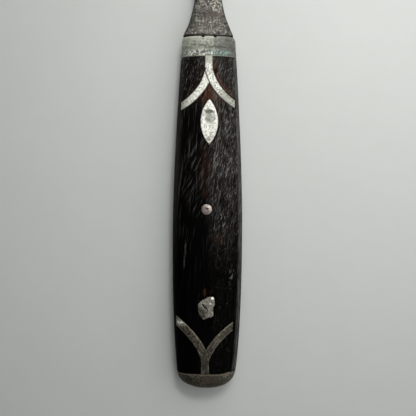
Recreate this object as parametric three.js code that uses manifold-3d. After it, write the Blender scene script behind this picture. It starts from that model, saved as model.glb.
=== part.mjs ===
// A three-tined table fork. The steel blade runs through the handle as a flat tang between two wooden
// scales. A cast pewter bolster and a pewter butt cap close the handle's ends, and pewter strips and
// lozenges are let into both faces of the wood.
// Millimetres, +Z up: the fork lies on its back with its tines towards +Y.

import * as THREE from "three";
import { mergeVertices } from "three/addons/utils/BufferGeometryUtils.js";
import Module from "manifold-3d";

const wasm = await Module();
wasm.setup();

// Handle: lengths run from the steel shoulder towards the butt
const handleLength = 92;
const bolsterLength = 5.7;
const capLength = 4.55;
const bellyDistance = 49;
const bolsterWidth = 13.7;
const bellyWidth = 18.2;
const capWidth = 15.3;
const bolsterThickness = 8.4;
const bellyThickness = 9.6;
const capThickness = 9;
const bolsterTaper = 1.55;
const capTaper = 2.75;
const sectionFullness = 2.5;
const buttWidthRounding = 2.2;
const buttThicknessRounding = 3.2;
const buttFlatWidth = 3;
const restFlatDepth = 0.15;

// Fits between neighbouring pieces
const clearance = 0.25;
const shoulderGap = 0.4;

// Tang
const tangThickness = 2.2;
const bolsterWall = 1.6;
const capWall = 2.2;
const tongueRoot = 2;

// Shank and tines: distances run from the shoulder towards the tips
const shankLength = 42;
const tineLength = 50;
const shoulderWidth = 12.9;
const shoulderThickness = 5;
const flareLength = 13.9;
const neckWidth = 6.6;
const neckThickness = 3;
const headFlareLength = 18;
const tinePitch = 8.5;
const tineRootWidth = 3;
const tineEndWidth = 1.5;
const tinePointWidth = 0.6;
const tinePointLength = 3;
const tineThickness = 2.4;
const tinePointThickness = 0.8;
const heelFromRoot = 14;
const tineCurveRadius = 95;
const bladeFullness = 3.6;

// Pewter strips: a long one with the stem and a short one that butts against it, at each end of each face
const stripWidth = 1.96;
const shortButtStripWidth = 1.8;
const stripFloor = 0.6;
const stripSink = 1.2;
const stripOverrun = 3;
const bolsterStem = { x: 0.02, length: 2.48, armAngle: THREE.MathUtils.degToRad(27.5) };
const buttStem = { x: -0.38, length: 1.99, armAngle: THREE.MathUtils.degToRad(34.5) };
const stemPull = 3.6;
const armEndPull = 4.2;
const longBolsterArm = { side: 1, delay: 0, reach: 9.95, inset: 1.18 };
const shortBolsterArm = { side: -1, delay: 0.75, reach: 9.71, inset: 0.98 };
const longButtArm = { side: -1, delay: 0.78, reach: 10.69, inset: 0.7 };
const shortButtArm = { side: 1, delay: 0, reach: 10.16, inset: 1.91 };

// Lozenges and pin
const lozengeLength = 11.6;
const lozengeWidth = 4.46;
const lozengeNeckRadius = 1.1;
const upperLozengeDrop = 8.87;
const upperLozengeOffset = 0.28;
const lowerLozengeRise = 9.41;
const lowerLozengeOffset = -0.13;
const pinSideOffset = -0.22;
const pinOffset = 1.4;
const pinRadius = 1.42;
const pinCrown = 0.3;

// What is left of the lower lozenge on the front, measured from the lozenge's middle
const fragmentCorners = [
  [1.98, 2.54],
  [0.45, 2.54],
  [-2.3, 0.38],
  [-2, -1.8],
  [-0.78, -3.41],
  [1.7, -2.5],
  [1.75, 0],
  [2.24, 1.46],
];

// Fineness of the facets
const handleSides = 40;
const handleRings = 36;
const bladeSides = 20;
const bladeRings = 50;
const armSteps = 10;
const arcSteps = 5;

// Worked out from the sizes above
const foreLength = shankLength + tineLength;
const heelDistance = shankLength + heelFromRoot;
const capSeam = handleLength - capLength;
const backDepth = bellyThickness / 2 - restFlatDepth;
const tangHalf = tangThickness / 2;
const scaleFace = tangHalf + clearance;
const inletFloor = scaleFace + stripFloor;
const inlayFloor = inletFloor + clearance;
const past = bellyThickness;
const wide = 2 * bellyWidth;

// Materials
const steel = { color: 0x7a736a, roughness: 0.5, metalness: 0.9 };
const pewter = { color: 0xb9bbb0, roughness: 0.42, metalness: 0.9 };
const darkPewter = { color: 0x6a645a, roughness: 0.5, metalness: 0.85 };
const wood = { color: 0x2a1f1a, roughness: 0.45, metalness: 0 };

// Solids and cuts
function solidFrom(geometry) {
  geometry.deleteAttribute("normal");
  geometry.deleteAttribute("uv");
  const merged = mergeVertices(geometry, 1e-4);
  const vertProperties = merged.attributes.position.array;
  const triVerts = new Uint32Array(merged.index.array);
  return new wasm.Manifold(new wasm.Mesh({ numProp: 3, vertProperties, triVerts }));
}

function block(width, yLow, yHigh, zLow, zHigh, x = 0) {
  const geometry = new THREE.BoxGeometry(width, yHigh - yLow, zHigh - zLow);
  geometry.translate(x, (yLow + yHigh) / 2, (zLow + zHigh) / 2);
  return solidFrom(geometry);
}

function extrude(shape, zLow, zHigh) {
  const geometry = new THREE.ExtrudeGeometry(shape, {
    depth: zHigh - zLow,
    bevelEnabled: false,
    curveSegments: arcSteps,
  });
  geometry.translate(0, 0, zLow);
  return solidFrom(geometry);
}

// A piece of the front face, turned round the length of the fork to the back face
function toBack(solid) {
  return solid.rotate([0, 180, 0]);
}

// A closed rod along Y whose sections are rounded between an ellipse and a rectangle
function rod(sides, rings, sectionAt) {
  const geometry = new THREE.CylinderGeometry(1, 1, 1, sides, rings);
  const position = geometry.attributes.position;
  for (let i = 0; i < position.count; i += 1) {
    const along = 0.5 - position.getY(i);
    const { y, z, halfWidth, halfThickness, fullness } = sectionAt(along);
    const across = position.getX(i);
    const up = position.getZ(i);
    const x = Math.sign(across) * Math.abs(across) ** (2 / fullness) * halfWidth;
    const rise = Math.sign(up) * Math.abs(up) ** (2 / fullness) * halfThickness;
    position.setXYZ(i, x, y, z + rise);
  }
  return solidFrom(geometry);
}

// Handle
function swell(distance, atBolster, atBelly, atCap) {
  if (distance < bellyDistance) {
    const share = (bellyDistance - distance) / bellyDistance;
    return (atBelly - (atBelly - atBolster) * share ** bolsterTaper) / 2;
  }
  const share = (distance - bellyDistance) / (capSeam - bellyDistance);
  return (atBelly - (atBelly - atCap) * share ** capTaper) / 2;
}

const buttEndShare = (1 - (buttFlatWidth / capWidth) ** buttWidthRounding) ** (1 / buttWidthRounding);

function buttRounding(distance, power) {
  const share = (buttEndShare * Math.max(0, distance - capSeam)) / capLength;
  return (1 - share ** power) ** (1 / power);
}

function handleHalfWidth(distance) {
  const full = swell(distance, bolsterWidth, bellyWidth, capWidth);
  return full * buttRounding(distance, buttWidthRounding);
}

function handleHalfThickness(distance) {
  const full = swell(distance, bolsterThickness, bellyThickness, capThickness);
  return full * buttRounding(distance, buttThicknessRounding);
}

function handleSection(along) {
  const distance = handleLength * Math.sin((along * Math.PI) / 2);
  return {
    y: -distance,
    z: 0,
    halfWidth: handleHalfWidth(distance),
    halfThickness: handleHalfThickness(distance),
    fullness: sectionFullness,
  };
}

const wholeHandle = rod(handleSides, handleRings, handleSection).subtract(
  block(wide, -handleLength, 0, -past, -backDepth),
);
const woodTop = -bolsterLength - clearance;
const woodEnd = -capSeam + clearance;

// Steel blade
function shankHalfWidth(distance) {
  if (distance < flareLength) {
    const share = 1 - distance / flareLength;
    return (neckWidth + (shoulderWidth - neckWidth) * share ** 2) / 2;
  }
  const share = THREE.MathUtils.smoothstep(distance, shankLength - headFlareLength, shankLength);
  const headWidth = 2 * tinePitch + tineRootWidth;
  return (neckWidth + (headWidth - neckWidth) * share) / 2;
}

function tineWidth(distance) {
  const pointStart = foreLength - tinePointLength;
  if (distance > pointStart) {
    return THREE.MathUtils.lerp(tineEndWidth, tinePointWidth, (distance - pointStart) / tinePointLength);
  }
  const share = Math.max(0, distance - shankLength) / (pointStart - shankLength);
  return THREE.MathUtils.lerp(tineRootWidth, tineEndWidth, share);
}

function bladeHalfThickness(distance) {
  const flare = THREE.MathUtils.smoothstep(distance, 0, flareLength);
  const root = THREE.MathUtils.smoothstep(distance, flareLength, shankLength);
  const point = Math.max(0, distance - heelDistance) / (foreLength - heelDistance);
  const shank = THREE.MathUtils.lerp(shoulderThickness, neckThickness, flare);
  const tine = THREE.MathUtils.lerp(shank, tineThickness, root);
  return THREE.MathUtils.lerp(tine, tinePointThickness, point) / 2;
}

// The blade dips from the tang's middle to its heel on the table, then the tines curve up
function bladeHeight(distance) {
  const dip = tineThickness / 2 - backDepth;
  if (distance < heelDistance) {
    return (dip * (1 - Math.cos((Math.PI * distance) / heelDistance))) / 2;
  }
  return dip + (distance - heelDistance) ** 2 / (2 * tineCurveRadius);
}

function bladeSection(along) {
  const distance = foreLength * (1 - along);
  const inTines = distance > shankLength;
  return {
    y: distance,
    z: bladeHeight(distance),
    halfWidth: inTines ? tinePitch + tineWidth(distance) / 2 : shankHalfWidth(distance),
    halfThickness: bladeHalfThickness(distance),
    fullness: bladeFullness,
  };
}

function tineGap(side) {
  const middle = (side * tinePitch) / 2;
  const rootHalf = (tinePitch - tineRootWidth) / 2;
  const endHalf = (tinePitch - tineEndWidth) / 2;
  const pointHalf = (tinePitch - tinePointWidth) / 2;
  const crotch = shankLength + rootHalf;
  const shape = new THREE.Shape();
  shape.absarc(middle, crotch, rootHalf, Math.PI, 2 * Math.PI);
  shape.lineTo(middle + endHalf, foreLength - tinePointLength);
  shape.lineTo(middle + pointHalf, foreLength);
  shape.lineTo(middle + pointHalf, foreLength + past);
  shape.lineTo(middle - pointHalf, foreLength + past);
  shape.lineTo(middle - pointHalf, foreLength);
  shape.lineTo(middle - endHalf, foreLength - tinePointLength);
  const deep = foreLength;
  return extrude(shape, -deep, deep);
}

const bolsterTongueWidth = bolsterWidth - 2 * bolsterWall;
const capTongueWidth = capWidth - 2 * capWall;
const capTongueEnd = -handleLength + capWall;

function bladeSolid() {
  const fore = rod(bladeSides, bladeRings, bladeSection).subtract(tineGap(1)).subtract(tineGap(-1));
  const plate = wholeHandle.intersect(block(wide, woodEnd, woodTop, -tangHalf, tangHalf));
  const bolsterTongue = block(bolsterTongueWidth, woodTop - tongueRoot, tongueRoot, -tangHalf, tangHalf);
  const capTongue = block(capTongueWidth, capTongueEnd, woodEnd + tongueRoot, -tangHalf, tangHalf);
  return fore.add(plate).add(bolsterTongue).add(capTongue);
}

// Pewter strips
function armPoints(stem, arm, seam, towards) {
  const start = seam + towards * (stem.length + arm.delay);
  const end = seam + towards * (stem.length + arm.reach + arm.delay);
  const endX = arm.side * (handleHalfWidth(-end) - arm.inset);
  const run = new THREE.Vector2(arm.side * Math.cos(stem.armAngle), towards * Math.sin(stem.armAngle));
  const first = new THREE.Vector2(stem.x, start);
  const last = new THREE.Vector2(endX, end);
  const leave = new THREE.Vector2(stem.x, start + towards * stemPull);
  const arrive = last.clone().addScaledVector(run, -armEndPull);
  const bend = new THREE.CubicBezierCurve(first, leave, arrive, last).getPoints(armSteps);
  const overrun = last.clone().addScaledVector(run, stripOverrun);
  return [...bend, overrun];
}

function ribbon(points, halfWidth) {
  const left = [];
  const right = [];
  points.forEach((point, i) => {
    const before = points[Math.max(0, i - 1)];
    const after = points[Math.min(points.length - 1, i + 1)];
    const run = after.clone().sub(before).normalize();
    const side = new THREE.Vector2(-run.y, run.x).multiplyScalar(halfWidth);
    left.push(point.clone().add(side));
    right.unshift(point.clone().sub(side));
  });
  return new THREE.Shape([...left, ...right]);
}

// One strip in plan, cut off square beside the handle's edge, from a floor to past the front face
function stripBlock(points, width, arm, grow, floor) {
  const end = points[points.length - 2];
  const endX = Math.abs(end.x) + grow;
  const keep = block(endX + past, -handleLength, 0, floor, past, (arm.side * (endX - past)) / 2);
  return extrude(ribbon(points, width / 2 + grow), floor, past).intersect(keep);
}

function stemFrom(stem, from, points) {
  return [new THREE.Vector2(stem.x, from), ...points];
}

const bolsterSeam = -bolsterLength;
const longBolsterPoints = stemFrom(
  bolsterStem,
  bolsterSeam + stripSink,
  armPoints(bolsterStem, longBolsterArm, bolsterSeam, -1),
);
const shortBolsterPoints = armPoints(bolsterStem, shortBolsterArm, bolsterSeam, -1);
const longButtPoints = stemFrom(buttStem, woodEnd, armPoints(buttStem, longButtArm, -capSeam, 1));
const shortButtPoints = armPoints(buttStem, shortButtArm, -capSeam, 1);

const strips = {
  longBolster: (grow, floor) => stripBlock(longBolsterPoints, stripWidth, longBolsterArm, grow, floor),
  shortBolster: (grow, floor) => stripBlock(shortBolsterPoints, stripWidth, shortBolsterArm, grow, floor),
  longButt: (grow, floor) => stripBlock(longButtPoints, stripWidth, longButtArm, grow, floor),
  shortButt: (grow, floor) => stripBlock(shortButtPoints, shortButtStripWidth, shortButtArm, grow, floor),
};

function inlay(strip) {
  return strip(0, inlayFloor).intersect(wholeHandle);
}

function shortInlay(strip, longStrip) {
  return strip(0, inlayFloor).subtract(longStrip(clearance, 0)).intersect(wholeHandle);
}

// On the back face the same strip is cut by the back of the handle
function backInlay(strip) {
  return toBack(strip(0, inlayFloor)).intersect(wholeHandle);
}

function backShortInlay(strip, longStrip) {
  return toBack(strip(0, inlayFloor).subtract(longStrip(clearance, 0))).intersect(wholeHandle);
}

// Bolster and cap
function bolsterSolid() {
  const ring = wholeHandle.intersect(block(wide, bolsterSeam, -shoulderGap, -past, past));
  const tongueRoom = block(
    bolsterTongueWidth + 2 * clearance,
    bolsterSeam - clearance,
    0,
    -scaleFace,
    scaleFace,
  );
  return ring.subtract(tongueRoom).add(inlay(strips.longBolster)).add(backInlay(strips.longBolster));
}

function capSolid() {
  const end = wholeHandle.intersect(block(wide, -handleLength - past, -capSeam, -past, past));
  const tongueRoom = block(
    capTongueWidth + 2 * clearance,
    capTongueEnd - clearance,
    woodEnd,
    -scaleFace,
    scaleFace,
  );
  return end.subtract(tongueRoom);
}

// Lozenges: pointed ovals on both faces joined by a neck through the tang
const lozengeArc = (lozengeLength ** 2 + lozengeWidth ** 2) / (4 * lozengeWidth);
const lozengeArcOffset = lozengeArc - lozengeWidth / 2;

function lozengeShape(centre, grow) {
  const radius = lozengeArc + grow;
  const half = Math.acos(lozengeArcOffset / radius);
  const shape = new THREE.Shape();
  shape.absarc(centre.x - lozengeArcOffset, centre.y, radius, -half, half);
  shape.absarc(centre.x + lozengeArcOffset, centre.y, radius, Math.PI - half, Math.PI + half);
  return shape;
}

function lozengeBlock(centre, grow, floor) {
  return extrude(lozengeShape(centre, grow), floor, past);
}

function throughHole(centre, radius) {
  const geometry = new THREE.CylinderGeometry(radius, radius, 2 * past, 4 * arcSteps);
  geometry.rotateX(Math.PI / 2);
  geometry.translate(centre.x, centre.y, 0);
  return solidFrom(geometry);
}

const upperTip = bolsterSeam - bolsterStem.length - upperLozengeDrop;
const lowerTip = -capSeam + buttStem.length + lowerLozengeRise;
const upperLozenge = new THREE.Vector2(upperLozengeOffset, upperTip - lozengeLength / 2);
const lowerLozenge = new THREE.Vector2(lowerLozengeOffset, lowerTip + lozengeLength / 2);
const pinPlace = new THREE.Vector2(pinSideOffset, (woodTop + woodEnd) / 2 + pinOffset);

// The back face's lozenge lies opposite the front one, so that one neck joins them
function mirrored(centre) {
  return new THREE.Vector2(-centre.x, centre.y);
}

function lozengeNeck(centre) {
  const core = block(wide, -handleLength, 0, -inlayFloor - clearance, inlayFloor + clearance);
  return throughHole(centre, lozengeNeckRadius).intersect(core);
}

function upperLozengeSolid() {
  const front = lozengeBlock(upperLozenge, 0, inlayFloor);
  const back = toBack(lozengeBlock(mirrored(upperLozenge), 0, inlayFloor));
  return front.add(lozengeNeck(upperLozenge)).add(back).intersect(wholeHandle);
}

function lowerLozengeSolid() {
  const corners = fragmentCorners.map(([x, y]) => new THREE.Vector2(x, y).add(lowerLozenge));
  const fragment = extrude(new THREE.Shape(corners), inlayFloor, past);
  const front = lozengeBlock(lowerLozenge, 0, inlayFloor).intersect(fragment);
  const back = toBack(lozengeBlock(mirrored(lowerLozenge), 0, inlayFloor));
  return front.add(lozengeNeck(lowerLozenge)).add(back).intersect(wholeHandle);
}

// Pin with two peened ends: the front one stands proud, the back one is level with the flat it rests on
function crownProfile() {
  const radius = (pinRadius ** 2 + pinCrown ** 2) / (2 * pinCrown);
  const middle = pinCrown - radius;
  const top = Math.PI / 2;
  const rim = Math.acos(pinRadius / radius);
  return new THREE.EllipseCurve(0, middle, radius, radius, top, rim, true).getPoints(arcSteps);
}

function pinSolid() {
  const frontRim = handleHalfThickness(-pinPlace.y);
  const backRim = backDepth - pinCrown;
  const front = crownProfile().map((point) => new THREE.Vector2(Math.abs(point.x), frontRim + point.y));
  const back = crownProfile().map((point) => new THREE.Vector2(Math.abs(point.x), -backRim - point.y));
  const geometry = new THREE.LatheGeometry([...back, ...front.reverse()], 4 * arcSteps);
  geometry.rotateX(Math.PI / 2);
  geometry.translate(pinPlace.x, pinPlace.y, 0);
  return solidFrom(geometry);
}

// Scales: the two wooden slabs, with the inlets for the strips, lozenges and pin
function inlets(upper, lower) {
  const grown = Object.values(strips).map((strip) => strip(clearance, inletFloor));
  grown.push(lozengeBlock(upper, clearance, inletFloor));
  grown.push(lozengeBlock(lower, clearance, inletFloor));
  return grown;
}

function drilled(solid) {
  return solid
    .subtract(throughHole(upperLozenge, lozengeNeckRadius + clearance))
    .subtract(throughHole(lowerLozenge, lozengeNeckRadius + clearance))
    .subtract(throughHole(pinPlace, pinRadius + clearance));
}

function frontScaleSolid() {
  const slab = wholeHandle.intersect(block(wide, woodEnd, woodTop, scaleFace, past));
  return inlets(upperLozenge, lowerLozenge).reduce((rest, cut) => rest.subtract(cut), drilled(slab));
}

function backScaleSolid() {
  const slab = wholeHandle.intersect(block(wide, woodEnd, woodTop, -past, -scaleFace));
  const cuts = inlets(mirrored(upperLozenge), mirrored(lowerLozenge));
  return cuts.reduce((rest, cut) => rest.subtract(toBack(cut)), drilled(slab));
}

// Assembly
function geometryFrom(solid) {
  const mesh = solid.getMesh();
  const geometry = new THREE.BufferGeometry();
  geometry.setAttribute("position", new THREE.BufferAttribute(mesh.vertProperties, mesh.numProp));
  geometry.setIndex(new THREE.BufferAttribute(mesh.triVerts, 1));
  geometry.computeVertexNormals();
  return geometry;
}

function piece(name, solid, finish) {
  const mesh = new THREE.Mesh(geometryFrom(solid), new THREE.MeshStandardMaterial(finish));
  mesh.name = name;
  return mesh;
}

const { longBolster, shortBolster, longButt, shortButt } = strips;

const fork = new THREE.Group();
fork.add(
  piece("fork_blade", drilled(bladeSolid()), steel),
  piece("front_scale", frontScaleSolid(), wood),
  piece("back_scale", backScaleSolid(), wood),
  piece("bolster", bolsterSolid(), pewter),
  piece("front_bolster_arm", shortInlay(shortBolster, longBolster), pewter),
  piece("back_bolster_arm", backShortInlay(shortBolster, longBolster), pewter),
  piece("butt_cap", capSolid(), darkPewter),
  piece("front_butt_strip", inlay(longButt), darkPewter),
  piece("back_butt_strip", backInlay(longButt), darkPewter),
  piece("front_butt_arm", shortInlay(shortButt, longButt), darkPewter),
  piece("back_butt_arm", backShortInlay(shortButt, longButt), darkPewter),
  piece("upper_lozenge", upperLozengeSolid(), pewter),
  piece("lower_lozenge", lowerLozengeSolid(), pewter),
  piece("handle_pin", pinSolid(), pewter),
);
fork.position.set(0, (handleLength - foreLength) / 2, backDepth);

const group = new THREE.Group();
group.add(fork);

export default group;
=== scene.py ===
"""Dresses an old table fork: steel blade, dark wooden scales and worn pewter fittings.

Everything is in metres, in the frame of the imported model: the fork lies on its back with its tines towards
+Y, the steel shoulder is at y = 0 and the handle runs from there towards -Y.
"""

import math
from typing import NamedTuple

import bmesh
import bpy
from bpy.props import FloatProperty, FloatVectorProperty, IntProperty, PointerProperty
from mathutils import Matrix, Vector, noise
from mathutils.bvhtree import BVHTree
from mathutils.geometry import interpolate_bezier
from mathutils.kdtree import KDTree


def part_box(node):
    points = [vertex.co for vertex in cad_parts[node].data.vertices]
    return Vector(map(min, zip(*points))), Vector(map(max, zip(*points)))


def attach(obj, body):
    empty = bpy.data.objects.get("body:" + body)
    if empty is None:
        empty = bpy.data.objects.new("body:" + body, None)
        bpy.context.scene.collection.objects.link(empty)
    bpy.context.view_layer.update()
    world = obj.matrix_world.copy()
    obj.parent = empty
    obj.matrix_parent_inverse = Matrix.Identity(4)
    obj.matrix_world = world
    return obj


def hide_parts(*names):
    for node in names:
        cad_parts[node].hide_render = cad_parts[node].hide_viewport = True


bl_info = {
    "name": "Inlaid Table Fork",
    "version": (1, 0, 0),
    "blender": (4, 5, 0),
    "location": "View3D > Sidebar > Fork",
    "description": "Builds a table fork with a pewter-inlaid wooden handle",
    "category": "Add Mesh",
}

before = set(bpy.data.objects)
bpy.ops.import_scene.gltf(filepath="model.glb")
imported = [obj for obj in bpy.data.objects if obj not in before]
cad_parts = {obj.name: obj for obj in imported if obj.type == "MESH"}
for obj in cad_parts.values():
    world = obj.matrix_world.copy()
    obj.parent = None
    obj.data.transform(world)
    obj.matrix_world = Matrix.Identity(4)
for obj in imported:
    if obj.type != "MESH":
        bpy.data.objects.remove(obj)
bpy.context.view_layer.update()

MM = 0.001
BLADE_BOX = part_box("fork_blade")
SCALE_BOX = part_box("front_scale")
CAP_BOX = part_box("butt_cap")
TANG_LEVEL = (SCALE_BOX[0].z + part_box("back_scale")[1].z) / 2
FRONT = 1
BACK = -1
FACES = {"front": FRONT, "back": BACK}
FAR = 20 * MM  # Well outside the handle
SHARP = 0.01 * MM
SEED = 7


# Sizes and colours


def length(name, description, metres):
    return FloatProperty(
        name=name, description=description, default=metres, min=0, precision=5, unit="LENGTH"
    )


def amount(name, description, value):
    return FloatProperty(name=name, description=description, default=value, min=0)


def colour(name, description, value):
    return FloatVectorProperty(
        name=name, description=description, default=value, size=3, min=0, max=1, subtype="COLOR"
    )


class HandleSizes(bpy.types.PropertyGroup):
    """Sizes of the handle, measured from the steel shoulder towards the butt."""

    total: length("Length", "From the shoulder to the worn butt", -CAP_BOX[0].y - 0.4 * MM)
    bolster: length("Bolster length", "Length of the pewter collar", -SCALE_BOX[1].y - 0.1 * MM)
    cap: length("Cap length", "Length of the pewter butt cap", CAP_BOX[1].y - CAP_BOX[0].y - 0.55 * MM)
    belly: length("Belly distance", "From the shoulder to the widest place", 49 * MM)
    bolster_width: length("Bolster width", "Width at the shoulder", 13.7 * MM)
    belly_width: length("Belly width", "Greatest width", 18.2 * MM)
    cap_width: length("Cap width", "Width at the seam of the cap", 15.3 * MM)
    bolster_thickness: length("Bolster thickness", "Thickness at the shoulder", 8.4 * MM)
    belly_thickness: length("Belly thickness", "Greatest thickness", 9.6 * MM)
    cap_thickness: length("Cap thickness", "Thickness at the seam of the cap", 9 * MM)
    bolster_taper: amount("Bolster taper", "Power of the narrowing towards the shoulder", 1.55)
    cap_taper: amount("Cap taper", "Power of the narrowing towards the butt", 2.75)
    fullness: amount("Fullness", "Section between an ellipse, 2, and a rectangle", 2.5)
    butt_width_power: amount("Butt width power", "Rounding of the butt in width", 2.2)
    butt_thickness_power: amount("Butt thickness power", "Rounding of the butt in thickness", 3.2)
    butt_flat: length("Butt flat", "Width of the flat left at the very end", 3 * MM)
    tang: length("Tang thickness", "Thickness of the steel between the scales", 2.2 * MM)
    clearance: length("Clearance", "Hidden gap between neighbouring pieces", 0.25 * MM)
    hairline: length("Hairline", "Gap that shows round each inlay", 0.17 * MM)
    hand_work: length("Hand work", "Unevenness of the hand-shaped surface", 0.07 * MM)
    seam_lift: length("Seam lift", "How far the cap laps higher at its right end", 0.65 * MM)


class BladeSizes(bpy.types.PropertyGroup):
    """Sizes of the steel, measured from the shoulder towards the tips."""

    shank: length("Shank length", "From the shoulder to the roots of the tines", 42 * MM)
    total: length("Length", "From the shoulder to the tips", BLADE_BOX[1].y)
    shoulder_width: length("Shoulder width", "Width at the bolster", 12.9 * MM)
    shoulder_thickness: length("Shoulder thickness", "Thickness at the bolster", 5 * MM)
    lap: length("Shoulder lap", "From the shoulder to the end of its flare in the collar", 0.15 * MM)
    flare: length("Flare length", "Length of the flare at the shoulder", 13.9 * MM)
    neck_width: length("Neck width", "Width of the slim part", 6.6 * MM)
    neck_thickness: length("Neck thickness", "Thickness of the slim part", 3 * MM)
    lean: length("Lean", "How far the slim part stands to the left of the middle", 0.22 * MM)
    left_spread: length("Left spread", "Extra width of the shoulder on the left", 0.34 * MM)
    head_flare: length("Head flare", "Length over which the neck widens to the head", 18 * MM)
    pitch: length("Tine pitch", "From one tine to the next", 8.5 * MM)
    root_width: length("Root width", "Width of a tine at its root", 3 * MM)
    end_width: length("End width", "Width of a tine before its point", 1.5 * MM)
    point_width: length("Point width", "Width of a tine at its tip", 0.6 * MM)
    point: length("Point length", "Length of a tine's point", 3 * MM)
    tine_thickness: length("Tine thickness", "Thickness at the heel", 2.4 * MM)
    point_thickness: length("Point thickness", "Thickness at the tip", 0.8 * MM)
    heel: length("Heel", "From the roots of the tines to their lowest place", 14 * MM)
    bend: length("Bend radius", "Radius of the curve of the tines", 95 * MM)
    fullness: amount("Fullness", "Section between an ellipse, 2, and a rectangle", 3.6)
    grain: length("Mesh grain", "Size of the facets of the steel", 0.19 * MM)


class InlaySizes(bpy.types.PropertyGroup):
    """Sizes of the strips, lozenges and pin."""

    strip_width: length("Strip width", "Width of a pewter strip at its stem", 2 * MM)
    short_butt_width: length("Short butt strip width", "Width of the short arm at the butt", 1.8 * MM)
    arm_taper: amount("Arm taper", "Share of the width that the bolster's arms lose", 0.12)
    rounding: length("Edge rounding", "Worn edge of a strip", 0.3 * MM)
    waver: length("Waver", "Unevenness of the edges of a strip", 0.17 * MM)
    lozenge_length: length("Lozenge length", "From tip to tip", 11.75 * MM)
    lozenge_width: length("Lozenge width", "Across the middle", 4.46 * MM)
    neck: length("Neck radius", "Radius of the neck that joins two lozenges", 1.1 * MM)
    pin_radius: length("Pin radius", "Radius of the handle pin", 1.42 * MM)
    pin_crown: length("Pin crown", "Height of the pin's peened end", 0.3 * MM)
    seed: IntProperty(name="Seed", description="Seed of the uneven edges", default=SEED)


class FinishColours(bpy.types.PropertyGroup):
    """Base colours of the finishes."""

    steel: colour("Steel", "Clean forged steel", (0.2, 0.19, 0.162))
    # Brown stain colour, also laid on as painted shade along the steel's flanks and its joint with the collar.
    stain: colour("Stain", "Brown stain on the steel", (0.075, 0.057, 0.05))
    wood: colour("Wood", "Dark handle wood", (0.0045, 0.0036, 0.0033))
    warm_wood: colour("Warm wood", "Red-brown wood where the polish has worn", (0.085, 0.036, 0.018))
    # Pale colour of the wood's streaks, also laid on as painted sheen and glints.
    silver_wood: colour("Silvered wood", "Dry streaks in the wood", (0.165, 0.163, 0.152))
    # Worn pewter, painted brighter as lit: the upper inlays take this colour for the light they reflect.
    pewter: colour("Pewter", "Bright worn pewter", (0.9, 0.895, 0.82))
    grey_pewter: colour("Grey pewter", "Grey-green pewter of the bolster", (0.33, 0.345, 0.285))
    verdigris: colour("Verdigris", "Blue-green bloom on the bolster", (0.27, 0.4, 0.345))
    # Partly painted shade: tarnished pewter, made darker than the upper inlays for the shade at the butt end.
    dark_pewter: colour("Dark pewter", "Tarnished pewter at the butt", (0.058, 0.051, 0.037))
    pin: colour("Pin", "Pinkish grey metal of the pin", (0.31, 0.267, 0.241))
    floor: colour("Floor", "Pale surface that the fork lies on", (0.565, 0.582, 0.564))


GROUPS = {
    "fork_handle": HandleSizes,
    "fork_blade": BladeSizes,
    "fork_inlay": InlaySizes,
    "fork_colours": FinishColours,
}


def settings(context):
    """The sizes of the handle, blade and inlays, and the colours."""
    return [getattr(context.scene, name) for name in GROUPS]


# Node trees


class Term:
    """A number in a node tree. Arithmetic with it adds Math nodes."""

    def __init__(self, nodes, socket):
        self.nodes = nodes
        self.socket = socket

    def __abs__(self):
        return self.nodes.math("ABSOLUTE", self)

    def above(self, least):
        return self.nodes.math("MAXIMUM", self, least)

    def below(self, most):
        return self.nodes.math("MINIMUM", self, most)

    def root(self):
        return self.nodes.math("SQRT", self.above(0.0))

    def rise(self, low, high):
        """A smooth step from 0 at one value to 1 at another."""
        values = {"Value": self, "From Min": low, "From Max": high}
        return Term(self.nodes, self.nodes.out("ShaderNodeMapRange", values, interpolation_type="SMOOTHSTEP"))


OPERATIONS = {"add": "ADD", "sub": "SUBTRACT", "mul": "MULTIPLY", "truediv": "DIVIDE", "pow": "POWER"}
for sign, operation in OPERATIONS.items():
    setattr(Term, f"__{sign}__", lambda self, other, kind=operation: self.nodes.math(kind, self, other))
    setattr(Term, f"__r{sign}__", lambda self, other, kind=operation: self.nodes.math(kind, other, self))


class Nodes:
    """Adds nodes to a tree and links them."""

    per_row = 16
    column = 190
    row = 320

    def __init__(self, tree):
        self.tree = tree

    def add(self, kind, values=None, **options):
        row, column = divmod(len(self.tree.nodes), self.per_row)
        node = self.tree.nodes.new(kind)
        node.location = (self.column * column, -self.row * row)
        for name, value in options.items():
            setattr(node, name, value)
        for name, value in (values or {}).items():
            if isinstance(value, Term):
                value = value.socket
            if isinstance(value, bpy.types.NodeSocket):
                self.tree.links.new(value, node.inputs[name])
            else:
                node.inputs[name].default_value = value
        return node

    def out(self, kind, values=None, output=0, **options):
        """One output of a new node."""
        return self.add(kind, values, **options).outputs[output]

    def math(self, operation, *values):
        return Term(self, self.out("ShaderNodeMath", dict(enumerate(values)), operation=operation))

    def vector(self, operation, values, output="Vector"):
        return self.out("ShaderNodeVectorMath", values, output, operation=operation)

    def parts(self, vector):
        return [Term(self, socket) for socket in self.add("ShaderNodeSeparateXYZ", {0: vector}).outputs]

    def whole(self, x, y, z):
        return self.out("ShaderNodeCombineXYZ", {0: x, 1: y, 2: z})

    def cloud(self, vector, scale, detail, seed, roughness=0.5):
        values = {"Vector": vector, "W": seed, "Scale": scale, "Detail": detail, "Roughness": roughness}
        return Term(self, self.out("ShaderNodeTexNoise", values, noise_dimensions="4D"))

    def blend(self, factor, first, second):
        return self.out("ShaderNodeMix", {0: factor, 6: first, 7: second}, 2, data_type="RGBA")


GEOMETRY = "GeometryNodeTree"
SHADER = "ShaderNodeTree"
NUMBERS = {float: "NodeSocketFloat", int: "NodeSocketInt"}


def label(name):
    return name.replace("_", " ").title()


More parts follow.
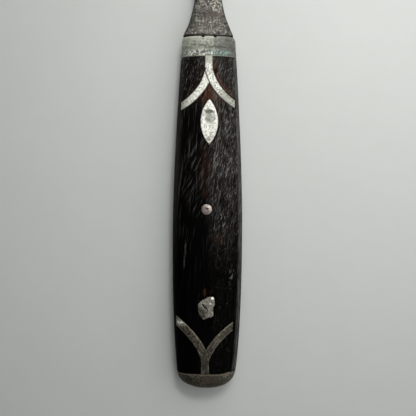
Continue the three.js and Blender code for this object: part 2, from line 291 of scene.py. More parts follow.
def node_tree(kind):
    """Makes a function that adds nodes into one that gives their tree, built at its first use.

    Its keyword arguments become the tree's inputs: numbers with their defaults, and words for the kind of any
    other socket. A geometry tree also takes the material that its real meshes end with. A shader tree puts
    out the numbers that the function returns.
    """

    def wrap(fill):
        def tree_of():
            name = label(fill.__name__)
            if name in bpy.data.node_groups:
                return bpy.data.node_groups[name]
            tree = bpy.data.node_groups.new(name, kind)
            nodes = Nodes(tree)
            inputs = dict(fill.__kwdefaults__)
            if kind == GEOMETRY:
                inputs["material"] = "Material"
            for key, default in inputs.items():
                socket = NUMBERS.get(type(default)) or f"NodeSocket{default}"
                made = tree.interface.new_socket(name=label(key), in_out="INPUT", socket_type=socket)
                if type(default) in NUMBERS:
                    made.default_value = default
            given = dict(zip(inputs, nodes.add("NodeGroupInput").outputs))
            for key, default in inputs.items():
                if type(default) in NUMBERS:
                    given[key] = Term(nodes, given[key])
            material = given.pop("material", None)
            results = fill(nodes, **given)
            if kind == GEOMETRY:
                real = nodes.out("GeometryNodeRealizeInstances", {"Geometry": results})
                painted = {"Geometry": real, "Material": material}
                results = {"Geometry": nodes.out("GeometryNodeSetMaterial", painted)}
            for key in results:
                socket = "NodeSocketGeometry" if kind == GEOMETRY else "NodeSocketFloat"
                tree.interface.new_socket(name=key, in_out="OUTPUT", socket_type=socket)
            nodes.add("NodeGroupOutput", results)
            return tree

        return tree_of

    return wrap


def shape(piece, tree, sizes=None, **values):
    """Runs a geometry tree on a piece. An input that isn't given takes the size of the same name."""
    modifier = piece.modifiers.new(tree.name, "NODES")
    modifier.node_group = tree
    for item in tree.interface.items_tree:
        key = item.name.lower().replace(" ", "_")
        if item.in_out == "INPUT" and (key in values or hasattr(sizes, key)):
            modifier[item.identifier] = values[key] if key in values else getattr(sizes, key)
    bake(piece)
    return piece


def grow(name, tree, sizes=None, **values):
    """A new piece made by a geometry tree."""
    return shape(link(name, bpy.data.meshes.new(name)), tree, sizes, **values)


@node_tree(GEOMETRY)
def handle_body(
    nodes, *, start=0.0, end=0.0, start_rounding=0.0, end_rounding=0.0, groove_distance=0.0, groove_depth=0.0,
    groove_width=0.22 * MM, total=0.0, belly=0.0, cap=0.0, bolster_taper=0.0, cap_taper=0.0, fullness=0.0,
    hand_work=0.0, seam_lift=0.0, bolster_width=0.0, belly_width=0.0, cap_width=0.0, butt_width_power=0.0,
    butt_flat=0.0, bolster_thickness=0.0, belly_thickness=0.0, cap_thickness=0.0, butt_thickness_power=0.0,
    rest_depth=TANG_LEVEL, seed=float(SEED), sides=112, rings=150,
):
    """A closed length of the handle by its rule: a full oval section that swells to the belly."""
    ends = {"Vertices": sides, "Side Segments": rings, "Radius": 1.0, "Depth": 2.0}
    rod = nodes.out("GeometryNodeMeshCylinder", ends)
    across, up, along = nodes.parts(nodes.out("GeometryNodeInputPosition"))
    eased = (1.0 - nodes.math("COSINE", (1.0 - along) * (math.pi / 2))) * 0.5
    distance = start + (end - start) * eased
    seam = total - cap
    to_bolster = ((belly - distance) / belly).above(0.0) ** bolster_taper
    to_cap = ((distance - belly) / (seam - belly)).above(0.0) ** cap_taper
    butt_share = (1.0 - (butt_flat / cap_width) ** butt_width_power) ** (1.0 / butt_width_power)
    past_seam = butt_share * (distance - seam).above(0.0) / cap

    def half(at_bolster, at_belly, at_cap, power):
        swell = at_belly - (at_belly - at_bolster) * to_bolster - (at_belly - at_cap) * to_cap
        return swell * (1.0 - past_seam**power) ** (1.0 / power) * 0.5

    def worn_edge(rounding, to_edge):
        missing = (rounding - to_edge).above(0.0)
        return rounding - (rounding**2.0 - missing**2.0).root()

    half_width = half(bolster_width, belly_width, cap_width, butt_width_power)
    half_thickness = half(bolster_thickness, belly_thickness, cap_thickness, butt_thickness_power)
    off_groove = (distance - groove_distance) / groove_width
    groove = groove_depth * nodes.math("EXPONENT", 0.0 - off_groove * off_groove)
    plan = nodes.whole(across * half_width, 0.0 - distance, up * half_thickness)
    uneven = (nodes.cloud(plan, 110.0, 1.0, seed) - 0.5) * hand_work
    edges = worn_edge(start_rounding, distance - start) + worn_edge(end_rounding, end - distance)
    inset = edges + groove + uneven

    def oval(share, half_size):
        return nodes.math("SIGN", share) * (abs(share) ** (2.0 / fullness)) * (half_size - inset)

    x = oval(across, half_width)
    z = (0.0 - oval(up, half_thickness)).above(0.0 - rest_depth) + rest_depth
    lift = seam_lift * x.rise(3.4 * MM, 6.8 * MM) * (1.0 - abs(distance - seam).rise(0.0, 3.5 * MM))
    place = nodes.whole(x, lift - distance, z)
    return nodes.out("GeometryNodeSetPosition", {"Geometry": rod, "Position": place})


def cube(nodes, x, y):
    """A cube of side 1 with so many points along X and Y."""
    size = {"Size": (1.0, 1.0, 1.0), "Vertices X": x, "Vertices Y": y, "Vertices Z": 2}
    return nodes.out("GeometryNodeMeshCube", size)


@node_tree(GEOMETRY)
def inlay_strip(
    nodes, *, path="Object", surface="Object", side=1.0, width=2 * MM, taper=0.0, gap=0.0, lift=0.0, floor=0.0,
    rounding=0.3 * MM, waver=0.1 * MM, tang_level=TANG_LEVEL, seed=float(SEED), steps=150,
):
    """A strip that follows a path in plan and lies in the handle's surface, with worn, uneven edges."""
    path = nodes.out("GeometryNodeObjectInfo", {"Object": path}, "Geometry")
    surface = nodes.out("GeometryNodeObjectInfo", {"Object": surface}, "Geometry")
    u, v, w = nodes.parts(nodes.out("GeometryNodeInputPosition"))
    across = nodes.math("SINE", u * math.pi)
    along = v + 0.5
    sample = nodes.add("GeometryNodeSampleCurve", {"Curves": path, "Factor": along}, mode="FACTOR").outputs
    run_x, run_y, _ = nodes.parts(sample["Tangent"])
    path_x, path_y, _ = nodes.parts(sample["Position"])
    run = nodes.out("GeometryNodeCurveLength", {"Curve": path})
    beat = nodes.whole(along * run * 900.0, across * 1.5, 0.0)
    uneven = (nodes.cloud(beat, 1.0, 2.0, seed) - 0.5) * waver * across
    half = width * 0.5 * (1.0 - taper * along) + gap
    offset = (across * half + uneven) * side
    x = path_x + run_y * offset
    y = path_y - run_x * offset
    ray = {
        "Target Geometry": surface,
        "Source Position": nodes.whole(x, y, tang_level + side * FAR),
        "Ray Direction": nodes.whole(0.0, 0.0, 0.0 - side),
        "Ray Length": FAR,
    }
    surface_z = nodes.parts(nodes.out("GeometryNodeRaycast", ray, "Hit Position"))[2]
    worn = ((abs(across) * half - half + rounding).above(0.0) / rounding).below(1.0)
    drop = rounding * (1.0 - (1.0 - worn * worn * 0.98).root()) * 0.6
    top = surface_z + side * (lift - drop)
    bottom = tang_level + side * floor
    z = bottom + (top - bottom) * nodes.math("GREATER_THAN", w, 0.0)
    edge = {"Geometry": cube(nodes, 19, steps), "Name": "edge", "Value": abs(across) ** 5.0}
    marked = nodes.out("GeometryNodeStoreNamedAttribute", edge, data_type="FLOAT", domain="POINT")
    return nodes.out("GeometryNodeSetPosition", {"Geometry": marked, "Position": nodes.whole(x, y, z)})


@node_tree(GEOMETRY)
def tine_gaps(
    nodes, *, count=2, pitch=0.0, shank=0.0, total=0.0, root_width=0.0, end_width=0.0, point_width=0.0,
    point=0.0, depth=60 * MM, overrun=5 * MM,
):
    """The slots between the tines: round at the root and wider towards the tips, repeated side by side."""
    u, v, w = nodes.parts(nodes.out("GeometryNodeInputPosition"))
    radius = (pitch - root_width) * 0.5
    tine = total - shank
    along = ((v + 0.5) ** 2.0) * (tine + overrun)
    missing = (radius - along).above(0.0)
    arc = (radius * radius - missing * missing).root() + SHARP
    taper = ((along - radius).above(0.0) / (tine - point - radius)).below(1.0)
    narrow = ((along - tine + point).above(0.0) / point).below(1.0)
    widen = taper * (root_width - end_width) + narrow * (end_width - point_width)
    place = nodes.whole(u * 2.0 * (arc + widen * 0.5), shank + along, w * depth)
    slot = nodes.out("GeometryNodeSetPosition", {"Geometry": cube(nodes, 2, 160), "Position": place})
    first = nodes.whole((count - 1.0) * pitch * -0.5, 0.0, 0.0)
    row = {"Count": count, "Start Location": first, "Offset": nodes.whole(pitch, 0.0, 0.0)}
    points = nodes.out("GeometryNodeMeshLine", row)
    return nodes.out("GeometryNodeInstanceOnPoints", {"Points": points, "Instance": slot})


@node_tree(GEOMETRY)
def forged_surface(nodes, *, geometry="Geometry", wave=0.05 * MM, dent=0.06 * MM, seed=float(SEED)):
    """Fine dents and waves that follow the surface of a forging."""
    place = nodes.out("GeometryNodeInputPosition")
    normal = nodes.out("GeometryNodeInputNormal", output="Normal")
    waves = (nodes.cloud(place, 260.0, 2.0, seed) - 0.5) * wave
    dents = nodes.cloud(place, 1150.0, 1.0, seed).rise(0.56, 0.72) * dent
    offset = nodes.vector("SCALE", {0: normal, "Scale": waves - dents})
    return nodes.out("GeometryNodeSetPosition", {"Geometry": geometry, "Offset": offset})


# Meshes


def link(name, data):
    """A new object in the scene."""
    piece = bpy.data.objects.new(name, data)
    bpy.context.scene.collection.objects.link(piece)
    return piece


def link_mesh(name, vertices, faces):
    mesh = bpy.data.meshes.new(name)
    mesh.from_pydata(vertices, [], faces)
    mesh.validate()
    return link(name, mesh)


def bake(piece):
    """Turns the result of a piece's modifiers into its plain mesh."""
    graph = bpy.context.evaluated_depsgraph_get()
    made = piece.evaluated_get(graph)
    mesh = bpy.data.meshes.new_from_object(made, preserve_all_data_layers=True, depsgraph=graph)
    piece.modifiers.clear()
    old = piece.data
    piece.data = mesh
    bpy.data.meshes.remove(old)
    mesh.name = piece.name
    if not mesh.polygons:
        raise RuntimeError(f"{piece.name}: no faces were made")


def discard(piece):
    data = piece.data
    store = bpy.data.curves if piece.type == "CURVE" else bpy.data.meshes
    bpy.data.objects.remove(piece)
    store.remove(data)


def carve(piece, operation, tools):
    """Cuts, joins or crops a piece with closed tools, which are then removed."""
    for tool in tools:
        modifier = piece.modifiers.new("Carve", "BOOLEAN")
        modifier.operation = operation
        modifier.solver = "MANIFOLD"
        modifier.object = tool
    bake(piece)
    for tool in tools:
        discard(tool)
    return piece


def prism(name, corners, low, high):
    """An upright solid on a plan of corners in anticlockwise order."""
    count = len(corners)
    vertices = [(x, y, level) for level in (low, high) for x, y in corners]
    faces = [tuple(reversed(range(count))), tuple(range(count, 2 * count))]
    for i in range(count):
        j = (i + 1) % count
        faces.append((i, j, j + count, i + count))
    return link_mesh(name, vertices, faces)


def block(name, low, high):
    """A box between two corners, given in any order."""
    (left, right), (near, far), (bottom, top) = (sorted(pair) for pair in zip(low, high))
    return prism(name, [(left, near), (right, near), (right, far), (left, far)], bottom, top)


def ring_mesh(name, top, rings, bottom):
    """A closed mesh from rings of points between one point above and one below."""
    count = len(rings[0])
    vertices = [top] + [point for ring in rings for point in ring] + [bottom]
    last = len(vertices) - 1
    lowest = last - count
    faces = []
    for j in range(count):
        k = (j + 1) % count
        faces.append((0, 1 + j, 1 + k))
        for here in range(1, lowest, count):
            below = here + count
            faces.append((here + j, below + j, below + k, here + k))
        faces.append((lowest + j, last, lowest + k))
    return link_mesh(name, vertices, faces)


def mark(piece, name, value):
    """Stores a number at each vertex for the finish to use."""
    layer = piece.data.attributes.new(name, "FLOAT", "POINT")
    layer.data.foreach_set("value", [value(vertex) for vertex in piece.data.vertices])


def dress(piece, node, material, sharp=38):
    """Gives a finished piece its material and smooth shading, and puts it in the place of its CAD node."""
    mesh = piece.data
    mesh.materials.clear()
    mesh.materials.append(material)
    mesh.shade_smooth()
    mesh.set_sharp_from_angle(angle=math.radians(sharp))
    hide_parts(node)
    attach(piece, "root")


# Handle


def body(name, handle, start, end, rounding, **values):
    """A length of the handle with worn ends."""
    ends = {"start": start, "end": end, "start_rounding": rounding, "end_rounding": rounding}
    return grow(name, handle_body(), handle, **{**ends, **values})


def cap_seam(handle):
    return handle.total - handle.cap


def half_width(handle, distance):
    """Half width of the wooden part of the handle."""
    before = max(0, (handle.belly - distance) / handle.belly) ** handle.bolster_taper
    after = max(0, (distance - handle.belly) / (cap_seam(handle) - handle.belly)) ** handle.cap_taper
    to_bolster = (handle.belly_width - handle.bolster_width) * before
    to_cap = (handle.belly_width - handle.cap_width) * after
    return (handle.belly_width - to_bolster - to_cap) / 2


def wood_start(handle):
    return handle.bolster + handle.clearance


def wood_end(handle):
    return cap_seam(handle) - handle.clearance


def inlet_floor(handle):
    return handle.tang / 2 + handle.clearance + 0.6 * MM


def inlay_floor(handle):
    return inlet_floor(handle) + handle.clearance


COLLAR_WALL = 1.6 * MM
BUTT_WALL = 2.2 * MM


def collar_tongue(handle):
    return handle.bolster_width - 2 * COLLAR_WALL


def butt_tongue(handle):
    return handle.cap_width - 2 * BUTT_WALL


def tongue(name, handle, width, start, end, room=0.0):
    """A flat part of the tang, or with some room the slot that it goes in."""
    half = width / 2 + room
    face = handle.tang / 2 + room
    return block(name, (-half, start, TANG_LEVEL - face), (half, end, TANG_LEVEL + face))


class Skin:
    """The whole surface of the handle, for what has to lie in it."""

    def __init__(self, handle):
        self.body = body("handle_skin", handle, 0.0, handle.total, SHARP, rings=260)
        self.body.hide_render = True
        points = [vertex.co.copy() for vertex in self.body.data.vertices]
        self.faces = BVHTree.FromPolygons(points, [tuple(face.vertices) for face in self.body.data.polygons])

    def height(self, side):
        """A function that gives the height of the surface on one side of the handle."""

        def at(x, y):
            hit = self.faces.ray_cast(Vector((x, y, TANG_LEVEL + side * FAR)), Vector((0, 0, -side)))[0]
            if hit is None:
                raise RuntimeError(f"the handle has no surface at {x:.4f}, {y:.4f}")
            return hit.z

        return at

    def clear(self):
        discard(self.body)


# Strips


class Stem(NamedTuple):
    """The stem of a Y: its place across the handle, its length and the slant of its arms at their ends."""

    x: float
    length: float
    arm_angle: float


class Route(NamedTuple):
    """The way of one strip, from its seat on the stem to its end near the handle's edge."""

    at_bolster: bool
    has_stem: bool
    side: int
    delay: float
    reach: float
    inset: float


BOLSTER_STEM = Stem(0.02 * MM, 2.33 * MM, math.radians(27.5))
BUTT_STEM = Stem(-0.38 * MM, 2.14 * MM, math.radians(34.5))
LONG_BOLSTER = Route(True, True, 1, -0.18 * MM, 9.95 * MM, 1.18 * MM)
SHORT_BOLSTER = Route(True, False, -1, 0.75 * MM, 9.71 * MM, 0.98 * MM)
LONG_BUTT = Route(False, True, -1, 0.78 * MM, 10.69 * MM, 0.7 * MM)
SHORT_BUTT = Route(False, False, 1, 0.0, 10.16 * MM, 1.91 * MM)
STEM_PULL = 3.6 * MM
ARM_PULL = 4.2 * MM
ARM_OVERRUN = 3 * MM
STEM_SINK = 1.2 * MM
TOOL_LIFT = 2 * MM
BUTT_SEAM = 0.04 * MM


def route_points(handle, route, turn=1):
    """Bezier points of a strip's path, each with its two handles, turned over with -1 for the back."""
    towards = -1 if route.at_bolster else 1
    stem = BOLSTER_STEM if route.at_bolster else BUTT_STEM
    seam = -handle.bolster if route.at_bolster else -cap_seam(handle)
    start = seam + towards * (stem.length + route.delay)
    end = start + towards * route.reach
    run = Vector((route.side * math.cos(stem.arm_angle), towards * math.sin(stem.arm_angle), 0))
    first = Vector((stem.x, start, 0))
    last = Vector((route.side * (half_width(handle, -end) - route.inset), end, 0))
    leave = Vector((stem.x, start + towards * STEM_PULL, 0))
    overrun = last + run * ARM_OVERRUN
    points = [(first, first, leave)]
    if route.has_stem:
        root = Vector((stem.x, seam + STEM_SINK if route.at_bolster else -wood_end(handle), 0))
        points = [(root, root, root.lerp(first, 0.3)), (first, root.lerp(first, 0.7), leave)]
    points.append((last, last - run * ARM_PULL, last.lerp(overrun, 0.3)))
    points.append((overrun, last.lerp(overrun, 0.7), overrun))
    return [[place * Vector((turn, 1, 1)) for place in point] for point in points]


def strip_path(name, handle, route, side):
    """The path of a strip in plan."""
    curve = bpy.data.curves.new(name, "CURVE")
    curve.dimensions = "3D"
    curve.resolution_u = 32
    points = route_points(handle, route, side)
    spline = curve.splines.new("BEZIER")
    spline.bezier_points.add(len(points) - 1)
    for made, (place, before, after) in zip(spline.bezier_points, points):
        made.handle_left_type = made.handle_right_type = "FREE"
        made.co = place
        made.handle_left = before
        made.handle_right = after
    return link(name, curve)


def near_strips(handle, routes, side):
    """A function that gives a vertex's distance in plan from the middle of the nearest strip."""
    places = []
    for route in routes:
        points = route_points(handle, route, side)
        for (here, _, leave), (there, arrive, _) in zip(points, points[1:]):
            places.extend(interpolate_bezier(here, leave, arrive, there, 40))
    tree = KDTree(len(places))
    for i, place in enumerate(places):
        tree.insert(place, i)
    tree.balance()
    return lambda vertex: tree.find((vertex.co.x, vertex.co.y, 0))[2]


def strip(name, context, skin, route, side, gap=0.0, floor=None):
    """One strip, cut off square beside the handle's edge. With a floor it is a tool that cuts an inlet."""
    handle, _, inlay, _ = settings(context)
    short_butt = not route.at_bolster and not route.has_stem
    is_tool = floor is not None
    path = strip_path(f"{name}_path", handle, route, side)
    piece = grow(
        name,
        inlay_strip(),
        path=path,
        surface=skin.body,
        side=float(side),
        width=inlay.short_butt_width if short_butt else inlay.strip_width,
        taper=inlay.arm_taper if route.at_bolster else 0.0,
        gap=gap,
        floor=floor if is_tool else inlay_floor(handle),
        lift=TOOL_LIFT if is_tool else 0.0,
        rounding=SHARP if is_tool else inlay.rounding,
        waver=inlay.waver,
        seed=float(inlay.seed + 10 * route.at_bolster + 3 * route.has_stem + side),
    )
    discard(path)
    end = route_points(handle, route)[-2][0]
    outwards = route.side * side
    keep_to = (outwards * (abs(end.x) + gap), 0, 2 * FAR)
    return carve(piece, "INTERSECT", [block("keep", (-outwards * FAR, -handle.total, -FAR), keep_to)])


# Lozenges and pin


ANGLES = [2 * math.pi * i / 144 for i in range(144)]
UPPER_DROP = 8.65 * MM
UPPER_OFFSET = 0.28 * MM
LOWER_RISE = 9.34 * MM
LOWER_OFFSET = -0.13 * MM
PIN_OFFSET = 1.4 * MM
PIN_SIDE_OFFSET = -0.22 * MM
FRAGMENT = [
    *((1.98, 2.54), (1.21, 2.61), (0.45, 2.54), (-0.48, 2.0), (-1.55, 1.38), (-2.3, 0.38)),
    *((-2.14, -0.08), (-2.17, -0.92), (-1.94, -1.92), (-1.25, -2.84), (-0.78, -3.41), (-0.48, -3.23)),
    *((0.45, -2.77), (1.52, -2.61), (1.83, -2.15), (1.75, -0.92), (1.75, 0.0), (2.16, 0.54), (2.24, 1.46)),
]
SLIT = ((-1.07, 0.79), (0.52, -0.97))
SLIT_HALF_WIDTH = 0.25 * MM
SLIT_FLOOR = 3.6 * MM
BROKEN_FLOOR = 3.55 * MM


def upper_lozenge_place(handle, inlay):
    tip = -handle.bolster - BOLSTER_STEM.length - UPPER_DROP
    return Vector((UPPER_OFFSET, tip - inlay.lozenge_length / 2, 0))


def lower_lozenge_place(handle, inlay):
    tip = -cap_seam(handle) + BUTT_STEM.length + LOWER_RISE
    return Vector((LOWER_OFFSET, tip + inlay.lozenge_length / 2, 0))


def pin_place(handle):
    return Vector((PIN_SIDE_OFFSET, -(wood_start(handle) + wood_end(handle)) / 2 + PIN_OFFSET, 0))


def circle(radius):
    return [radius] * len(ANGLES)


def ragged(angle, scale, seed):
    return noise.noise(Vector((scale * math.cos(angle), scale * math.sin(angle), seed)))


def lozenge_outline(inlay, gap=0.0, seed=0.0):
    """Reach of a pointed oval in each direction, between two arcs, with a little hand-cut unevenness."""
    width = inlay.lozenge_width
    arc = (inlay.lozenge_length**2 + width**2) / (4 * width)
    offset = arc - width / 2
    reaches = []
    for angle in ANGLES:
        reach = math.sqrt((arc + gap) ** 2 - (offset * math.sin(angle)) ** 2) - offset * abs(math.cos(angle))
        reaches.append(reach + 0.08 * MM * ragged(angle, 3.2, seed))
    return reaches


def fragment_outline(inlay, gap=0.0):
    """Reach of the broken piece of a lozenge in each direction."""
    corners = [Vector(corner) * MM for corner in FRAGMENT]
    reaches = []
    for angle, reach in zip(ANGLES, lozenge_outline(inlay, gap)):
        run = Vector((math.cos(angle), math.sin(angle)))
        for here, there in zip(corners, corners[1:] + corners[:1]):
            edge = there - here
            facing = run.cross(edge)
            if abs(facing) < 1e-12:
                continue
            share = here.cross(run) / facing
            away = here.cross(edge) / facing
            if away > 0 and 0 <= share <= 1:
                reach = min(reach, away + gap)
        reaches.append(reach + 0.06 * MM * ragged(angle, 7, 3.0))
    return reaches


def inlay_face(height, place, outline, side, rounding, relief=None, steps=30):
    """The middle of an inlay's face, and its rings from there to the worn border."""

    def point(share, angle, reach):
        x = share * reach * math.cos(angle)
        y = share * reach * math.sin(angle)
        worn = max(0, 1 - (1 - share) * reach / rounding)
        depth = rounding * 0.6 * (1 - math.sqrt(1 - 0.98 * worn**2))
        if relief:
            depth += relief(x / MM, y / MM) * MM
        x += place.x
        y += place.y
        return Vector((x, y, max(0.0, height(x, y) - side * depth)))

    shares = [math.sin(step / steps * math.pi / 2) for step in range(1, steps + 1)]
    rings = [[point(share, *way) for way in zip(ANGLES, outline)] for share in shares]
    return point(0, 0, outline[0]), rings


def level_ring(place, outline, z):
    return [
        Vector((place.x + reach * math.cos(angle), place.y + reach * math.sin(angle), z))
        for angle, reach in zip(ANGLES, outline)
    ]


def plug(name, handle, inlay, skin, place, front, back, relief):
    """A lozenge on each face, joined by a round neck through the tang."""
    top, front_rings = inlay_face(skin.height(FRONT), place, front, FRONT, inlay.rounding, relief)
    bottom, back_rings = inlay_face(skin.height(BACK), place, back, BACK, inlay.rounding)
    waist = circle(inlay.neck)
    floor = inlay_floor(handle)
    levels = ((front, floor), (waist, floor), (waist, -floor), (back, -floor))
    neck = [level_ring(place, outline, TANG_LEVEL + level) for outline, level in levels]
    return ring_mesh(name, top, front_rings + neck + back_rings[::-1], bottom)


def pocket(name, place, outline, side, floor, top=FAR):
    """A tool that cuts an inlet with the given outline, from a floor to past the surface."""
    levels = sorted((TANG_LEVEL + side * floor, TANG_LEVEL + side * top), reverse=True)
    rings = [level_ring(place, outline, level) for level in levels]
    ends = [Vector((place.x, place.y, level)) for level in levels]
    return ring_mesh(name, ends[0], rings, ends[1])


def near_line(x, y, start, end):
    """Distance of a point from a line between two points."""
    line = Vector(end) - Vector(start)
    offset = Vector((x, y)) - Vector(start)
    share = min(1, max(0, offset.dot(line) / line.length_squared))
    return (offset - line * share).length


def soft_step(value, low, high):
    share = min(1, max(0, (value - low) / (high - low)))
    return share * share * (3 - 2 * share)


def dents(x, y, scale, seed):
    return noise.noise(Vector((scale * x, scale * y, seed)))


def upper_relief(x, y):
    """Depth of the upper lozenge's flaws, in mm: a dish under an arched lip, a pit and fine dents."""
    down = 3.05 - 0.42 * (x + 0.1) ** 2 - y
    across = 1 - soft_step(abs(x + 0.1), 0.9, 1.75)
    dish = 0.26 * soft_step(down, -0.25, 0.15) * (1 - soft_step(down, 0.2, 3.7)) * across
    pit = 0.16 * (1 - soft_step(math.hypot(x + 0.3, 1.3 * (y + 4.4)), 0.12, 0.5))
    return dish + pit + 0.05 * max(0, dents(x, y, 1.9, 4.0))


def fragment_relief(x, y):
    """Depth of the broken lozenge's uneven face, in mm."""
    return 0.06 + 0.1 * dents(x, y, 1.3, 9.0) + 0.04 * dents(x, y, 4, 2.0)


def pin_relief(inlay):
    """Depth of a peened end, in mm: a dome with a V-shaped dent and a few hammer marks."""
    crown = inlay.pin_crown / MM
    radius = inlay.pin_radius / MM

    def depth(x, y):
        dome = crown * (1 - math.hypot(x, y) ** 2 / radius**2)
        left = near_line(x, y, (-0.34, 0.42), (-0.02, 0.06))
        right = near_line(x, y, (0.3, 0.4), (-0.02, 0.06))
        dent = 0.13 * (1 - soft_step(min(left, right), 0.04, 0.2))
        return dent + 0.05 * dents(x, y, 1.7, 5.0) - dome

    return depth


# Blade


def mix(first, second, share):
    return first + (second - first) * share


def fore_section(blade, distance):
    """Height, half width and half thickness of the steel at a distance in front of the shoulder."""
    heel = blade.shank + blade.heel
    dip = blade.tine_thickness / 2 - TANG_LEVEL
    if distance < heel:
        height = dip * (1 - math.cos(math.pi * distance / heel)) / 2
    else:
        height = dip + (distance - heel) ** 2 / (2 * blade.bend)
    flare = soft_step(distance, 0, blade.flare)
    root = soft_step(distance, blade.flare, blade.shank)
    thin = max(0, distance - heel) / (blade.total - heel)
    thickness = mix(blade.shoulder_thickness, blade.neck_thickness, flare)
    thickness = mix(mix(thickness, blade.tine_thickness, root), blade.point_thickness, thin)
    point_start = blade.total - blade.point
    tines = 2 * blade.pitch
    if distance < blade.flare:
        width = mix(blade.neck_width, blade.shoulder_width, (1 - distance / blade.flare) ** 2)
    elif distance < blade.shank:
        widen = soft_step(distance, blade.shank - blade.head_flare, blade.shank)
        width = mix(blade.neck_width, tines + blade.root_width, widen)
    elif distance < point_start:
        share = (distance - blade.shank) / (point_start - blade.shank)
        width = tines + mix(blade.root_width, blade.end_width, share)
    else:
        width = tines + mix(blade.end_width, blade.point_width, (distance - point_start) / blade.point)
    return height, width / 2, thickness / 2


def fore_blade(name, blade, sides=56, count=230):
    """The steel in front of the handle, before the gaps between the tines are cut."""
    power = 2 / blade.fullness
    rings = []
    for i in range(count + 1):
        distance = mix(blade.total, -blade.lap, i / count)
        height, half, thick = fore_section(blade, distance)
        lean = blade.lean * soft_step(distance, 0, blade.flare / 2)
        lean *= 1 - soft_step(distance, blade.flare, blade.shank)
        spread = blade.left_spread * (1 - soft_step(distance, 0.5 * MM, 4 * MM))
        ring = []
        for j in range(sides):
            across = math.cos(2 * math.pi * j / sides)
            up = math.sin(2 * math.pi * j / sides)
            reach = half + spread if across < 0 else half
            x = math.copysign(abs(across) ** power, across) * reach - lean
            z = math.copysign(abs(up) ** power, up) * thick
            ring.append(Vector((x, distance, TANG_LEVEL + height + z)))
        rings.append(ring)
    tip, end = (sum(ring, Vector()) / sides for ring in (rings[0], rings[-1]))
    piece = ring_mesh(name, tip, rings, end)
    shell = bmesh.new()
    shell.from_mesh(piece.data)
    bmesh.ops.recalc_face_normals(shell, faces=shell.faces)
    shell.to_mesh(piece.data)
    shell.free()
    return piece


# Shared effects of the finishes


@node_tree(SHADER)
def clouded_tone(nodes, *, vector="Vector", scale=300.0, low=0.4, high=0.6, seed=0.0):
    """Soft cloudy patches of two sizes."""
    broad = nodes.cloud(vector, scale, 4.0, seed, 0.6)
    fine = nodes.cloud(vector, scale * 4.0, 3.0, seed + 5.0, 0.6)
    height = broad * 0.65 + fine * 0.35
    return {"Mask": height.rise(low, high), "Height": height}


@node_tree(SHADER)
def small_pits(nodes, *, vector="Vector", scale=1000.0, cover=0.5, seed=0.0):
    """Small round pits of different sizes, scattered in patches."""
    values = {"Vector": vector, "W": seed, "Scale": scale}
    cells = nodes.out("ShaderNodeTexVoronoi", values, "Distance", voronoi_dimensions="4D")
    where = nodes.cloud(vector, scale * 0.3, 2.0, seed + 3.0)
    size = (where - (1.0 - cover)).above(0.0) * 1.6
    mask = 1.0 - Term(nodes, cells).rise(size * 0.5, size + 0.02)
    return {"Mask": mask, "Height": 1.0 - mask}


@node_tree(SHADER)
def frayed_patch(
    nodes, *, vector="Vector", centre="Vector", reach="Vector", fray=0.6, scale=500.0, softness=0.5
):
    """A frayed patch at one place of the object."""
    offset = nodes.vector("SUBTRACT", {0: vector, 1: centre})
    share = nodes.vector("DIVIDE", {0: offset, 1: reach})
    away = Term(nodes, nodes.vector("LENGTH", {0: share}, "Value"))
    frayed = (nodes.cloud(vector, scale, 3.0, 11.0, 0.6) - 0.5) * 2.0 * fray
    return {"Mask": 1.0 - (away + frayed).rise(1.0 - softness, 1.0)}


@node_tree(SHADER)
def fine_scratches(nodes, *, vector="Vector", turn=0.0, scale=4000.0, stretch=14.0, low=0.58, seed=0.0):
    """Fine scratches along one direction."""
    values = {
        "Vector": vector,
        "Rotation": nodes.whole(0.0, 0.0, turn),
        "Scale": nodes.whole(1.0, stretch, stretch * 0.4),
    }
    turned = nodes.out("ShaderNodeMapping", values, vector_type="TEXTURE")
    lines = nodes.cloud(turned, scale, 2.0, seed, 0.55)
    return {"Mask": lines.rise(low, low + 0.12), "Height": lines}


def shade(value, factor=1.0):
    return (*(min(1.0, part * factor) for part in value), 1.0)


class Finish:
    """A material under construction: a ground, the coats over it and the shared effects."""

    patch_level = 8.5 * MM
    patch_depth = 20 * MM

    def __init__(self, material):
        material.use_nodes = True
        material.node_tree.nodes.clear()
        self.nodes = Nodes(material.node_tree)
        self.place = self.nodes.out("ShaderNodeTexCoord", output="Object")
        millimetres = self.nodes.vector("SCALE", {0: self.place, "Scale": 1 / MM})
        self.x, self.y, self.z = self.nodes.parts(millimetres)
        self.base = None

    def ground(self, value, factor=1.0):
        self.base = shade(value, factor)

    def coat(self, mask, value, factor=1.0):
        """Lays a colour over the base where the mask is 1."""
        self.base = self.nodes.blend(mask, self.base, shade(value, factor))

    def effect(self, tree, **values):
        """The outputs of a shared effect."""
        fed = {label(name): value for name, value in values.items()}
        node = self.nodes.add("ShaderNodeGroup", {"Vector": self.place, **fed}, node_tree=tree)
        return [Term(self.nodes, socket) for socket in node.outputs]

    def clouded(self, scale, low, high, seed=0):
        return self.effect(clouded_tone(), scale=scale, low=low, high=high, seed=seed)

    def pits(self, scale, cover, seed):
        return self.effect(small_pits(), scale=scale, cover=cover, seed=seed)

    def scratches(self, turn, scale, stretch, low, seed):
        values = {"scale": scale, "stretch": stretch, "low": low, "seed": seed}
        return self.effect(fine_scratches(), turn=math.radians(turn), **values)

    def patch(self, x, y, reach_x, reach_y, fray, scale, softness):
        """A patch on the front, from a place and a reach in mm."""
        centre = (x * MM, y * MM, self.patch_level)
        reach = (reach_x * MM, reach_y * MM, self.patch_depth)
        values = {"fray": fray, "scale": scale, "softness": softness}
        return self.effect(frayed_patch(), centre=centre, reach=reach, **values)[0]

    def marked(self, name):
        """A number stored on the mesh."""
        return Term(self.nodes, self.nodes.out("ShaderNodeAttribute", output="Fac", attribute_name=name))


